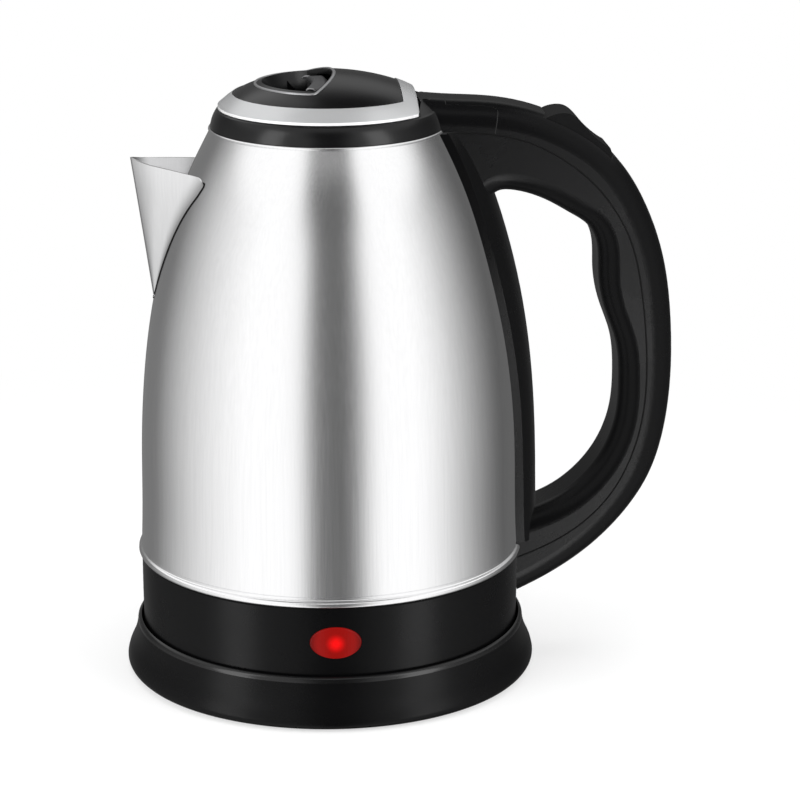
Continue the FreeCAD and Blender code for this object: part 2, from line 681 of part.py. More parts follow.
def handle_room():
    """What stands where the handle meets the body, collar, skirt and hinge."""
    collar = fused(collar_form(0.15), disc(COLLAR_R + 0.15, 205.0, 213.6))
    lid = block(20, HINGE_X - NOSE_R, -40, 40, 213.0, 240)
    skirt = disc(SKIRT_R + 0.15, 5, 47.2)
    return [body_fill(0.15), collar, lid, over_nose(), skirt]


def cover_space(grow):
    """Room of the hinge cover: cheeks beside the handle's top strip, joined in front of it."""
    side = path(xz(20, 205.0), xz(61.0 + grow, 205.0), xz(63.1 + grow, 218.6),
                (xz(63.0 + grow, 220.2), xz(61.6 + grow, 221.1)), xz(61.6 + grow, 240), xz(20, 240),
                xz(20, 205.0))
    strip = block(43.8 + grow, 90, -STRIP_HALF + grow, STRIP_HALF - grow, 216.0 + grow, 240)
    return slab(side, -40, 40).cut(strip)


def handle_halves():
    """Inner half with the flange, outer half and hinge cover."""
    plate = handle_plate()
    beyond = outer_side()
    slit = parting_slit()
    hollow = handle_hollow()
    pocket = rocker_room()
    steam = Part.makeCylinder(4.2, 50, V(40, 0, 199), V(1, 0, 0))
    pin_bore = cross_rod(1.52, ROCKER_X, ROCKER_Z, -13.0, 13.0)
    room = handle_room() + [hollow, pocket, pin_bore, slit]
    inner = fused(plate, handle_flange()).cut(beyond).cut(room + [steam])
    inner = max(inner.Solids, key=lambda s: s.Volume)
    outer = plate.common(beyond).cut(room)
    cover = outer.common(cover_space(0.0)).cut([hinge_room(), hinge_bore()])
    outer = outer.cut(cover_space(0.3))
    return inner, max(outer.Solids, key=lambda s: s.Volume), max(cover.Solids, key=lambda s: s.Volume)


def switch_rocker():
    """Saddle-topped rocker in the top of the handle."""
    wheel = cross_rod(ROCKER_R, ROCKER_X, ROCKER_Z, -ROCKER_HALF, ROCKER_HALF)
    saddle = [xz(86.8, 218.3), xz(91.0, 218.1), xz(97.8, 212.0), xz(102.8, 207.3), xz(106.6, 204.8)]
    top = path(xz(70, 213.2), xz(81.5, 216.3), saddle, xz(107.4, 202.6), xz(112, 200.0), xz(104, 188.0),
               xz(78, 208.0), xz(70, 213.2))
    sector = wheel.common(slab(top, -20, 20))
    hub = cross_rod(3.6, ROCKER_X, ROCKER_Z, -ROCKER_HALF, ROCKER_HALF)
    under = cross_rod(7.6, ROCKER_X - 1.2, ROCKER_Z - 4.0, -ROCKER_HALF + 1.5, ROCKER_HALF - 1.5)
    return fused(sector.cut(under), hub).cut(cross_rod(1.56, ROCKER_X, ROCKER_Z, -20, 20))


def rocker_pin():
    """Pin the rocker turns on."""
    return cross_rod(1.5, ROCKER_X, ROCKER_Z, -12.8, 12.8)


def steam_tube():
    """Pipe that carries steam from the neck to the switch."""
    outer = Part.makeCylinder(4.0, 24, V(51.0, 0, 199), V(1, 0, 0))
    return outer.cut(Part.makeCylinder(3.0, 40, V(45, 0, 199), V(1, 0, 0)))


def main():
    """Build every piece and write it."""
    os.makedirs("parts", exist_ok=True)
    inner, outer, cover = handle_halves()
    pieces = {
        "base_housing": base_housing(), "base_bottom_plate": base_bottom_plate(),
        "base_foot_ring": base_foot_ring(), "base_screws": base_screws(), "base_socket": base_socket(),
        "base_contacts": base_contacts(), "kettle_coupler": kettle_coupler(),
        "coupler_contacts": coupler_contacts(), "lower_skirt": lower_skirt(),
        "indicator_lens": indicator_lens(), "neon_lamp": neon_lamp(), "lamp_holder": lamp_holder(),
        "skirt_screws": skirt_screws(), "plate_studs": plate_studs(), "heater_plate": heater_plate(),
        "heat_spreader": heat_spreader(), "heating_element": heating_element(),
        "control_block": control_block(), "bimetal_discs": bimetal_discs(), "body_shell": body_shell(),
        "spout": spout(), "top_collar": top_collar(), "lid_hinge_pin": lid_hinge_pin(),
        "spout_seal": spout_seal(), "lid_cover": lid_cover(), "well_rim": well_rim(),
        "lid_trim": lid_trim(), "lid_liner": lid_liner(), "lid_screws": lid_screws(),
        "latch_lever": latch_lever(), "latch_bolt": latch_bolt(), "latch_spring": latch_spring(),
        "handle_inner": inner, "handle_outer": outer, "hinge_cover": cover,
        "switch_rocker": switch_rocker(), "rocker_pin": rocker_pin(), "steam_tube": steam_tube(),
    }
    for name, shape in pieces.items():
        save(name, shape)
        print(name, shape.isValid(), len(shape.Solids), round(shape.Volume, 1))


main()
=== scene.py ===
"""Looks of a cordless electric kettle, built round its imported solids.

Metres, +Z up. The kettle's axis is Z, the handle points along +X and the spout along -X.
"""
import json
import logging
from abc import ABC, abstractmethod
from collections.abc import Callable, Sequence
from dataclasses import dataclass
from enum import Enum
from math import atan, atan2, cos, hypot, pi, radians, sin, sqrt
from typing import Any, ClassVar

import bpy
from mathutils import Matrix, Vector


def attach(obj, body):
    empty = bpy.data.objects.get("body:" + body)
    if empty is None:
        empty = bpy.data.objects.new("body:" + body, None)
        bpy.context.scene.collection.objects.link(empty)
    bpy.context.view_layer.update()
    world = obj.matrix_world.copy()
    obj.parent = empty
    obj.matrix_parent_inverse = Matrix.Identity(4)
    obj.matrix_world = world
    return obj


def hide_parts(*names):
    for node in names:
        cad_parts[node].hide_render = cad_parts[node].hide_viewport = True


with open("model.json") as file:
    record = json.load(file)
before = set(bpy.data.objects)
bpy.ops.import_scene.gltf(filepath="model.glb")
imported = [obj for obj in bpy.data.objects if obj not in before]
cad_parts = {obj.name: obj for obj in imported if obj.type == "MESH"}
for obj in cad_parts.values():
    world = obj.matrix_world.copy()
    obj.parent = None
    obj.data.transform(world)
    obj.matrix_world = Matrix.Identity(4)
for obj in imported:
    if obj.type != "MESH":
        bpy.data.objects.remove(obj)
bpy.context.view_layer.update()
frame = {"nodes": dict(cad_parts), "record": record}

log = logging.getLogger("kettle")
MM = 0.001
WELD = 2e-6
HALVINGS = 30
Colour = tuple[float, float, float]
Pair = tuple[float, float]
Place = tuple[float, float, float]
Piece = bpy.types.Object
Socket = bpy.types.NodeSocket


def fair_curve(marks: Sequence[Pair], steps: int) -> list[Pair]:
    """Smooth line through a few marks, as a bent batten gives it.

    Args:
        marks: Points in order, in millimetres.
        steps: Pieces that each span between two marks is divided into.

    Returns:
        Points along the line, the marks among them.
    """
    knots = [0.0]
    for (x0, y0), (x1, y1) in zip(marks, marks[1:]):
        knots.append(knots[-1] + hypot(x1 - x0, y1 - y0))
    line: list[list[float]] = []
    for axis in (0, 1):
        values = [mark[axis] for mark in marks]
        bends = natural_bends(knots, values)
        run: list[float] = []
        for i in range(len(marks) - 1):
            span = knots[i + 1] - knots[i]
            for k in range(steps):
                t = span * k / steps
                a, b = (span - t) / span, t / span
                run.append(a * values[i] + b * values[i + 1]
                           + ((a ** 3 - a) * bends[i] + (b ** 3 - b) * bends[i + 1]) * span * span / 6.0)
        run.append(values[-1])
        line.append(run)
    return list(zip(*line))


def natural_bends(knots: Sequence[float], values: Sequence[float]) -> list[float]:
    """Second derivatives of a natural cubic spline.

    Args:
        knots: Distance of each mark along the line.
        values: One coordinate of each mark.

    Returns:
        The bend at each mark, none at the ends.
    """
    n = len(knots)
    bends = [0.0] * n
    carry = [0.0] * n
    for i in range(1, n - 1):
        share = (knots[i] - knots[i - 1]) / (knots[i + 1] - knots[i - 1])
        pivot = share * bends[i - 1] + 2.0
        bends[i] = (share - 1.0) / pivot
        rise = (values[i + 1] - values[i]) / (knots[i + 1] - knots[i])
        rise -= (values[i] - values[i - 1]) / (knots[i] - knots[i - 1])
        carry[i] = (6.0 * rise / (knots[i + 1] - knots[i - 1]) - share * carry[i - 1]) / pivot
    for i in range(n - 2, 0, -1):
        bends[i] = bends[i] * bends[i + 1] + carry[i]
    bends[0] = 0.0
    bends[-1] = 0.0
    return bends


def arc(start: Pair, middle: Pair, end: Pair, steps: int) -> list[Pair]:
    """Points on the circle through three marks, from just after the first to the last.

    Args:
        start: Where the arc starts, in millimetres.
        middle: A point on it.
        end: Where it ends.
        steps: Number of points.

    Returns:
        The points in order.
    """
    (ax, ay), (bx, by), (cx, cy) = start, middle, end
    d = 2.0 * (ax * (by - cy) + bx * (cy - ay) + cx * (ay - by))
    a, b, c = ax * ax + ay * ay, bx * bx + by * by, cx * cx + cy * cy
    ux = (a * (by - cy) + b * (cy - ay) + c * (ay - by)) / d
    uy = (a * (cx - bx) + b * (ax - cx) + c * (bx - ax)) / d
    radius = hypot(ax - ux, ay - uy)
    first = atan2(ay - uy, ax - ux)
    sweep = (atan2(cy - uy, cx - ux) - first) % (2.0 * pi)
    if (atan2(by - uy, bx - ux) - first) % (2.0 * pi) > sweep:
        sweep -= 2.0 * pi
    turns = [first + sweep * (k + 1) / steps for k in range(steps)]
    return [(ux + radius * cos(t), uy + radius * sin(t)) for t in turns]


def read_off(line: Sequence[Pair], at: float) -> float:
    """Value of a line at one place, held at its ends.

    Args:
        line: Place and value of each corner, the places rising.
        at: The place.

    Returns:
        The value there.
    """
    for (p0, v0), (p1, v1) in zip(line, line[1:]):
        if p0 <= at <= p1:
            return v0 + (v1 - v0) * (at - p0) / (p1 - p0)
    return line[0][1] if at < line[0][0] else line[-1][1]


def halve(low: float, high: float, holds: Callable[[float], bool]) -> Pair:
    """Closes in on the place where a test stops holding.

    Args:
        low: A place where it holds.
        high: A place where it doesn't.
        holds: The test.

    Returns:
        The two places, now next to each other.
    """
    for _ in range(HALVINGS):
        middle = 0.5 * (low + high)
        if holds(middle):
            low = middle
        else:
            high = middle
    return low, high


def grey(level: float) -> tuple[float, float, float, float]:
    """Grey of one level, as a node's colour."""
    return level, level, level, 1.0


class Bench:
    """Modelling moves that every sub-assembly shares, made with Blender's own operators."""

    @staticmethod
    def clear() -> None:
        """Leaves edit mode and deselects everything."""
        if bpy.context.object is not None and bpy.context.object.mode != "OBJECT":
            bpy.ops.object.mode_set(mode="OBJECT")
        bpy.ops.object.select_all(action="DESELECT")

    @classmethod
    def pick(cls, piece: Piece) -> None:
        """Selects one piece alone and makes it the active one."""
        cls.clear()
        piece.select_set(True)
        bpy.context.view_layer.objects.active = piece

    @staticmethod
    def open() -> None:
        """Goes into edit mode with the whole mesh selected."""
        bpy.ops.object.mode_set(mode="EDIT")
        bpy.ops.mesh.select_all(action="SELECT")

    @classmethod
    def close(cls) -> None:
        """Heals the mesh and leaves edit mode."""
        cls.heal()
        bpy.ops.object.mode_set(mode="OBJECT")

    @staticmethod
    def heal() -> None:
        """Merges doubled points and turns every face outwards, in edit mode."""
        bpy.ops.mesh.select_all(action="SELECT")
        bpy.ops.mesh.remove_doubles(threshold=WELD)
        bpy.ops.mesh.select_all(action="SELECT")
        bpy.ops.mesh.normals_make_consistent(inside=False)

    @staticmethod
    def named(name: str) -> Piece:
        """Names the piece that was just added, and gives it."""
        piece = bpy.context.object
        piece.name = name
        piece.data.name = name
        return piece

    @classmethod
    def seed(cls, name: str, at: Place) -> Piece:
        """Starts a piece as one selected point in edit mode.

        Args:
            name: The piece's name.
            at: The point, in metres.

        Returns:
            The new object.
        """
        cls.clear()
        bpy.ops.mesh.primitive_plane_add(size=MM, location=(0.0, 0.0, 0.0))
        piece = cls.named(name)
        cls.open()
        bpy.ops.mesh.merge(type="CENTER")
        bpy.ops.transform.translate(value=at)
        return piece

    @classmethod
    def trace(cls, name: str, route: Sequence[Place]) -> Piece:
        """Draws a wire by extruding one point along a route, and stays in edit mode.

        Args:
            name: The piece's name.
            route: Points in metres.

        Returns:
            The new object.
        """
        piece = cls.seed(name, route[0])
        for here, there in zip(route, route[1:]):
            step = Vector(there) - Vector(here)
            bpy.ops.mesh.extrude_region_move(TRANSFORM_OT_translate={"value": step})
        return piece

    @classmethod
    def turn(cls, name: str, profile: Sequence[Pair], steps: int) -> Piece:
        """Spins a closed half profile about the kettle's axis.

        Args:
            name: The piece's name.
            profile: Radius and height of each corner, in millimetres.
            steps: Number of steps round.

        Returns:
            The finished piece, back in object mode.
        """
        route = [(r * MM, 0.0, z * MM) for r, z in [*profile, profile[0]]]
        piece = cls.trace(name, route)
        bpy.ops.mesh.select_all(action="SELECT")
        bpy.ops.mesh.remove_doubles(threshold=0.5 * WELD)
        bpy.ops.mesh.select_all(action="SELECT")
        bpy.ops.mesh.spin(steps=steps, angle=2.0 * pi, center=(0.0, 0.0, 0.0), axis=(0.0, 0.0, 1.0))
        cls.close()
        return piece

    @classmethod
    def sheet(cls, name: str, u_steps: int, v_steps: int,
              place: Callable[[float, float], Place]) -> Piece:
        """Lays a grid of faces over a surface.

        Args:
            name: The piece's name.
            u_steps: Faces along the first direction.
            v_steps: Faces along the second direction.
            place: Where a point goes, in metres, from its two shares between 0 and 1.

        Returns:
            The piece, in object mode.
        """
        cls.clear()
        bpy.ops.mesh.primitive_grid_add(x_subdivisions=u_steps, y_subdivisions=v_steps, size=1.0,
                                        location=(0.0, 0.0, 0.0))
        piece = cls.named(name)
        for vertex in piece.data.vertices:
            vertex.co = place(*(min(max(share + 0.5, 0.0), 1.0) for share in vertex.co.xy))
        cls.open()
        bpy.ops.mesh.remove_doubles(threshold=WELD)
        bpy.ops.object.mode_set(mode="OBJECT")
        return piece

    @classmethod
    def round_wire(cls, piece: Piece, radius: float, closed: bool = False) -> Piece:
        """Gives a traced wire a round section.

        Args:
            piece: The wire, still in edit mode.
            radius: Of the section, in millimetres.
            closed: Whether its end joins its start.

        Returns:
            The finished piece, in object mode.
        """
        bpy.ops.object.mode_set(mode="OBJECT")
        bpy.ops.object.convert(target="CURVE")
        piece = bpy.context.object
        piece.data.splines[0].use_cyclic_u = closed
        piece.data.use_fill_caps = not closed
        piece.data.bevel_depth = radius * MM
        piece.data.bevel_resolution = 4
        bpy.ops.object.convert(target="MESH")
        piece = bpy.context.object
        cls.open()
        cls.close()
        cls.smooth(piece, angle=60.0)
        return piece

    @classmethod
    def prism(cls, name: str, outline: Sequence[Place], rise: Place) -> Piece:
        """Extrudes a flat outline into a block.

        Args:
            name: The piece's name.
            outline: Corners in metres.
            rise: The extrusion, in metres.

        Returns:
            The block, in object mode.
        """
        piece = cls.trace(name, outline)
        bpy.ops.mesh.select_all(action="SELECT")
        bpy.ops.mesh.edge_face_add()
        bpy.ops.mesh.extrude_region_move(TRANSFORM_OT_translate={"value": rise})
        cls.close()
        return piece

    @classmethod
    def apply(cls, piece: Piece, kind: str, **options: Any) -> None:
        """Adds a modifier and applies it.

        Args:
            piece: The piece.
            kind: The modifier's type.
            options: Its settings.
        """
        cls.pick(piece)
        modifier = piece.modifiers.new(kind.lower(), kind)
        for key, value in options.items():
            setattr(modifier, key, value)
        bpy.ops.object.modifier_apply(modifier=modifier.name)

    @classmethod
    def bevel(cls, piece: Piece, width: float, angle: float, **options: Any) -> None:
        """Bevels a piece's hard edges.

        Args:
            piece: The piece.
            width: Of the bevel, in millimetres.
            angle: Degrees from which an edge is hard.
            options: Other settings of the modifier.
        """
        cls.apply(piece, "BEVEL", width=width * MM, segments=2, limit_method="ANGLE",
                  angle_limit=radians(angle), **options)

    @classmethod
    def cut(cls, piece: Piece, cutter: Piece) -> None:
        """Takes a cutter's room out of a piece and throws the cutter away.

        Args:
            piece: The piece.
            cutter: The closed block to take away.
        """
        cls.apply(piece, "BOOLEAN", object=cutter, operation="DIFFERENCE", solver="EXACT")
        bpy.data.objects.remove(cutter)

    @classmethod
    def smooth(cls, piece: Piece, angle: float = 32.0) -> None:
        """Shades a piece smooth, with its hard edges kept.

        Args:
            piece: The piece.
            angle: Degrees from which an edge stays hard.
        """
        cls.pick(piece)
        bpy.ops.object.shade_smooth_by_angle(angle=radians(angle))

    @staticmethod
    def paint(piece: Piece, *finishes: str) -> None:
        """Gives a piece one material slot for each of its finishes.

        Args:
            piece: The piece.
            finishes: Their names, in order.
        """
        piece.data.materials.clear()
        for name in finishes:
            piece.data.materials.append(Finishes[name].value.material())

    @classmethod
    def fit(cls, piece: Piece, body: str, slot: str, *nodes: str, finishes: Sequence[str] = ()) -> None:
        """Puts a finished piece on its body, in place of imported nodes.

        Args:
            piece: The piece.
            body: The body that it rides on.
            slot: The record's material slot.
            nodes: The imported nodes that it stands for.
            finishes: Names of its finishes, where the slot's own isn't the only one.
        """
        kept = [face.material_index for face in piece.data.polygons]
        cls.paint(piece, *(finishes or (slot,)))
        for face, index in zip(piece.data.polygons, kept):
            face.material_index = index if finishes else 0
        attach(piece, body)
        if nodes:
            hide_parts(*nodes)
        log.info("%s: %d faces on %s", piece.name, len(piece.data.polygons), body)


class NodeBook:
    """Short way to add and join nodes in one shader tree."""

    def __init__(self, tree: bpy.types.NodeTree) -> None:
        """Keeps the tree that the nodes go into."""
        self.tree = tree

    def add(self, kind: str, inputs: dict[str | int, Any] | None = None, **options: Any) -> bpy.types.Node:
        """Adds one node.

        Args:
            kind: The node's type, without its ShaderNode prefix.
            inputs: Values or output sockets for its inputs, by name or number.
            options: Settings of the node itself.

        Returns:
            The new node.
        """
        node = self.tree.nodes.new("ShaderNode" + kind)
        for key, value in options.items():
            setattr(node, key, value)
        for key, value in (inputs or {}).items():
            if isinstance(value, Socket):
                self.tree.links.new(value, node.inputs[key])
            else:
                node.inputs[key].default_value = value
        return node

    def join(self, source: Socket, node: bpy.types.Node, key: str | int) -> None:
        """Links an output to a node's input.

        Args:
            source: The output socket.
            node: The node that it goes to.
            key: The input's name or number.
        """
        self.tree.links.new(source, node.inputs[key])

    def maths(self, operation: str, *values: Any) -> Socket:
        """Adds a Math node.

        Args:
            operation: The node's operation.
            values: Numbers or output sockets, in order.

        Returns:
            The result's socket.
        """
        return self.add("Math", dict(enumerate(values)), operation=operation).outputs[0]

    def vectors(self, operation: str, *values: Any) -> bpy.types.Node:
        """Adds a Vector Math node.

        Args:
            operation: The node's operation.
            values: Vectors or output sockets, in order.

        Returns:
            The node.
        """
        return self.add("VectorMath", dict(enumerate(values)), operation=operation)

    def spread(self, value: Socket, low: Pair, high: Pair, soft: bool = False) -> Socket:
        """Maps a value from one range to another, held at the ends.

        Args:
            value: The socket to map.
            low: A value and what it becomes.
            high: A larger value and what it becomes.
            soft: Whether the ends ease in and out.

        Returns:
            The result's socket.
        """
        node = self.add("MapRange", {0: value, 1: low[0], 2: high[0], 3: low[1], 4: high[1]},
                        interpolation_type="SMOOTHSTEP" if soft else "LINEAR")
        return node.outputs[0]

    def ramp(self, value: Socket, stops: Sequence[Pair]) -> Socket:
        """Adds a grey colour ramp.

        Args:
            value: The socket that runs along the ramp.
            stops: Place and brightness of each stop.

        Returns:
            The ramp's colour socket.
        """
        node = self.add("ValToRGB", {0: value})
        marks = node.color_ramp.elements
        while len(marks) < len(stops):
            marks.new(0.5)
        for mark, (place, _) in zip(marks, stops):
            mark.position = place
        for mark, (_, level) in zip(marks, stops):
            mark.color = grey(level)
        return node.outputs[0]

    def blend(self, mask: Socket, low: Sequence[float] | Socket, high: Sequence[float] | Socket) -> Socket:
        """Mixes two colours.

        Args:
            mask: Socket that runs from the first colour to the second.
            low: The first colour, or its socket.
            high: The second colour, or its socket.

        Returns:
            The mixed colour's socket.
        """
        ends = [end if isinstance(end, Socket) else (*end[:3], 1.0) for end in (low, high)]
        return self.add("Mix", {0: mask, 6: ends[0], 7: ends[1]}, data_type="RGBA").outputs[2]


class Effects:
    """Surface effects that several finishes share, each a node group made once."""

    @staticmethod
    def group(name: str, inputs: dict[str, float | None],
              outputs: Sequence[str]) -> tuple[NodeBook, bpy.types.Node, bpy.types.Node]:
        """Starts a group.

        Args:
            name: The group's name.
            inputs: Default of each number input, or nothing for a vector.
            outputs: Names of its number outputs.

        Returns:
            The group's node book, its input node and its output node.
        """
        tree = bpy.data.node_groups.new(name, "ShaderNodeTree")
        for key, value in inputs.items():
            kind = "NodeSocketVector" if value is None else "NodeSocketFloat"
            socket = tree.interface.new_socket(key, in_out="INPUT", socket_type=kind)
            if value is not None:
                socket.default_value = value
        for key in outputs:
            tree.interface.new_socket(key, in_out="OUTPUT", socket_type="NodeSocketFloat")
        return NodeBook(tree), tree.nodes.new("NodeGroupInput"), tree.nodes.new("NodeGroupOutput")

    @classmethod
    def brush_lines(cls) -> bpy.types.NodeTree:
        """Long upright brush lines, fine ones over broad ones.

        Returns:
            The node group.
        """
        if "brush_lines" in bpy.data.node_groups:
            return bpy.data.node_groups["brush_lines"]
        book, source, sink = cls.group("brush_lines", {"Vector": None, "Across": 900.0, "Along": 3.0},
                                       ("Tone", "Height"))
        broader = (0.14, 0.14, 0.5)
        hair_share, band_share = 0.8, 0.2
        dark, light = 0.3, 0.7
        across = source.outputs["Across"]
        stretch = book.add("CombineXYZ", {0: across, 1: across, 2: source.outputs["Along"]})
        fine = book.vectors("MULTIPLY", source.outputs["Vector"], stretch.outputs[0]).outputs[0]
        broad = book.vectors("MULTIPLY", fine, broader).outputs[0]
        hair = book.add("TexNoise", {"Vector": fine, "Scale": 1.0, "Detail": 4.0, "Roughness": 0.7})
        band = book.add("TexNoise", {"Vector": broad, "Scale": 1.0, "Detail": 2.0})
        tone = book.maths("ADD", book.maths("MULTIPLY", hair.outputs[0], hair_share),
                          book.maths("MULTIPLY", band.outputs[0], band_share))
        book.join(book.spread(tone, (dark, 0.0), (light, 1.0)), sink, "Tone")
        book.join(hair.outputs[0], sink, "Height")
        return book.tree

    @classmethod
    def mould_grain(cls) -> bpy.types.NodeTree:
        """Fine pebbled skin that a textured mould leaves.

        Returns:
            The node group.
        """
        if "mould_grain" in bpy.data.node_groups:
            return bpy.data.node_groups["mould_grain"]
        book, source, sink = cls.group("mould_grain", {"Vector": None, "Scale": 2200.0}, ("Height", "Mask"))
        place = source.outputs["Vector"]
        pebble = book.add("TexVoronoi", {"Vector": place, "Scale": source.outputs["Scale"]})
        half = book.maths("MULTIPLY", source.outputs["Scale"], 0.5)
        cloud = book.add("TexNoise", {"Vector": place, "Scale": half, "Detail": 3.0})
        book.join(book.maths("ADD", pebble.outputs[0], cloud.outputs[0]), sink, "Height")
        book.join(cloud.outputs[0], sink, "Mask")
        return book.tree

    @classmethod
    def handling_marks(cls) -> bpy.types.NodeTree:
        """Faint cloudy patches that handling and wiping leave.

        Returns:
            The node group.
        """
        if "handling_marks" in bpy.data.node_groups:
            return bpy.data.node_groups["handling_marks"]
        book, source, sink = cls.group("handling_marks", {"Vector": None, "Scale": 35.0}, ("Mask",))
        clean, touched = 0.35, 0.7
        cloud = book.add("TexNoise", {"Vector": source.outputs["Vector"], "Scale": source.outputs["Scale"],
                                      "Detail": 5.0, "Roughness": 0.6, "Distortion": 0.4})
        book.join(book.spread(cloud.outputs[0], (clean, 0.0), (touched, 1.0)), sink, "Mask")
        return book.tree


@dataclass(frozen=True)
class Finish(ABC):
    """One finish, made into a material the first time it is used."""

    name: str
    colour: Colour

    def material(self) -> bpy.types.Material:
        """Gives the finish's material, made once.

        Returns:
            The material.
        """
        if self.name in bpy.data.materials:
            return bpy.data.materials[self.name]
        material = bpy.data.materials.new(self.name)
        material.use_nodes = True
        material.diffuse_color = (*self.colour, 1.0)
        material.node_tree.nodes.clear()
        book = NodeBook(material.node_tree)
        shader = book.add("BsdfPrincipled")
        book.add("OutputMaterial", {0: shader.outputs[0]})
        self.dress(book, shader)
        return material

    @abstractmethod
    def dress(self, book: NodeBook, shader: bpy.types.Node) -> None:
        """Adds the finish's own nodes.

        Args:
            book: Node book of the material.
            shader: Its Principled shader.
        """

    @staticmethod
    def place(book: NodeBook) -> Socket:
        """Object coordinates, the piece's own place in metres."""
        return book.add("TexCoord").outputs["Object"]

    def effect(self, book: NodeBook, tree: bpy.types.NodeTree, **values: float) -> bpy.types.Node:
        """Puts a shared effect on Object coordinates.

        Args:
            book: Node book of the material.
            tree: The effect's node group.
            values: Numbers for its inputs.

        Returns:
            The group node.
        """
        node = book.add("Group", node_tree=tree)
        book.join(self.place(book), node, "Vector")
        for key, value in values.items():
            node.inputs[key].default_value = value
        return node

    def tones(self, book: NodeBook, mask: Socket, spread: float) -> Socket:
        """Varies the finish's colour a little.

        Args:
            book: Node book of the material.
            mask: Socket that runs from the darker to the lighter tone.
            spread: Share by which the tones differ from the colour.

        Returns:
            The colour socket.
        """
        low = tuple(c * (1.0 - spread) for c in self.colour)
        high = tuple(min(1.0, c * (1.0 + spread)) for c in self.colour)
        return book.blend(mask, low, high)


@dataclass(frozen=True)
class BrushedMetal(Finish):
    """Metal with long brush lines."""

    roughness: float = 0.2
    across: float = 1400.0
    along: float = 4.0
    spread: float = 0.035
    depth: float = 0.012
    uneven: Pair = (0.92, 1.1)

    def dress(self, book: NodeBook, shader: bpy.types.Node) -> None:
        """Adds streaked colour, uneven gloss and a shallow relief.

        Args:
            book: Node book of the material.
            shader: Its Principled shader.
        """
        shader.inputs["Metallic"].default_value = 1.0
        lines = self.effect(book, Effects.brush_lines(), Across=self.across, Along=self.along)
        tone = lines.outputs["Tone"]
        relief = book.add("Bump", {"Height": lines.outputs["Height"], "Strength": self.depth, "Distance": MM})
        smooth, rough = (self.roughness * share for share in self.uneven)
        book.join(self.tones(book, tone, self.spread), shader, "Base Color")
        book.join(book.spread(tone, (0.0, smooth), (1.0, rough)), shader, "Roughness")
        book.join(relief.outputs[0], shader, "Normal")


@dataclass(frozen=True)
class FoldedSteel(BrushedMetal):
    """Brushed sheet with painted shade deep in its fold and beside the wall."""

    fold: float = -73.0
    clear: float = -66.5
    # Share of the colour left deep in the fold, a painted shade.
    stain: float = 0.2
    wall: Pair = (-56.0, -50.0)
    shadow: float = 0.8

    def tones(self, book: NodeBook, mask: Socket, spread: float) -> Socket:
        """Darkens the streaked colour towards the fold and the wall: painted shade in the crease and next to
        the body.

        Args:
            book: Node book of the material.
            mask: Socket that runs from the darker to the lighter tone.
            spread: Share by which the tones differ from the colour.

        Returns:
            The colour socket.
        """
        along = book.add("SeparateXYZ", {0: self.place(book)}).outputs[0]
        # Painted shade: colour darkened deep in the fold and beside the body's wall.
        deep = book.spread(along, (self.fold * MM, self.stain), (self.clear * MM, 1.0), soft=True)
        near = book.spread(along, (self.wall[0] * MM, 1.0), (self.wall[1] * MM, self.shadow), soft=True)
        plain = super().tones(book, mask, spread)
        return book.vectors("MULTIPLY", plain, book.maths("MULTIPLY", deep, near)).outputs[0]


@dataclass(frozen=True)
class Moulding(Finish):
    """Moulded plastic or rubber with a fine grain and faint handling marks."""

    roughness: float = 0.25
    grain: float = 2600.0
    depth: float = 0.03
    metallic: float = 0.0
    specular: float = 0.12
    spread: float = 0.2
    pebble: float = 0.4
    uneven: Pair = (0.93, 1.1)

    def dress(self, book: NodeBook, shader: bpy.types.Node) -> None:
        """Adds grain, uneven gloss and a trace of tone.

        Args:
            book: Node book of the material.
            shader: Its Principled shader.
        """
        shader.inputs["Metallic"].default_value = self.metallic
        shader.inputs["Specular IOR Level"].default_value = self.specular
        skin = self.effect(book, Effects.mould_grain(), Scale=self.grain)
        worn = self.effect(book, Effects.handling_marks())
        relief = book.add("Bump", {"Height": skin.outputs["Height"], "Strength": self.depth,
                                   "Distance": self.pebble * MM})
        smooth, rough = (self.roughness * share for share in self.uneven)
        book.join(self.tones(book, skin.outputs["Mask"], self.spread), shader, "Base Color")
        book.join(book.spread(worn.outputs["Mask"], (0.0, smooth), (1.0, rough)), shader, "Roughness")
        book.join(relief.outputs[0], shader, "Normal")


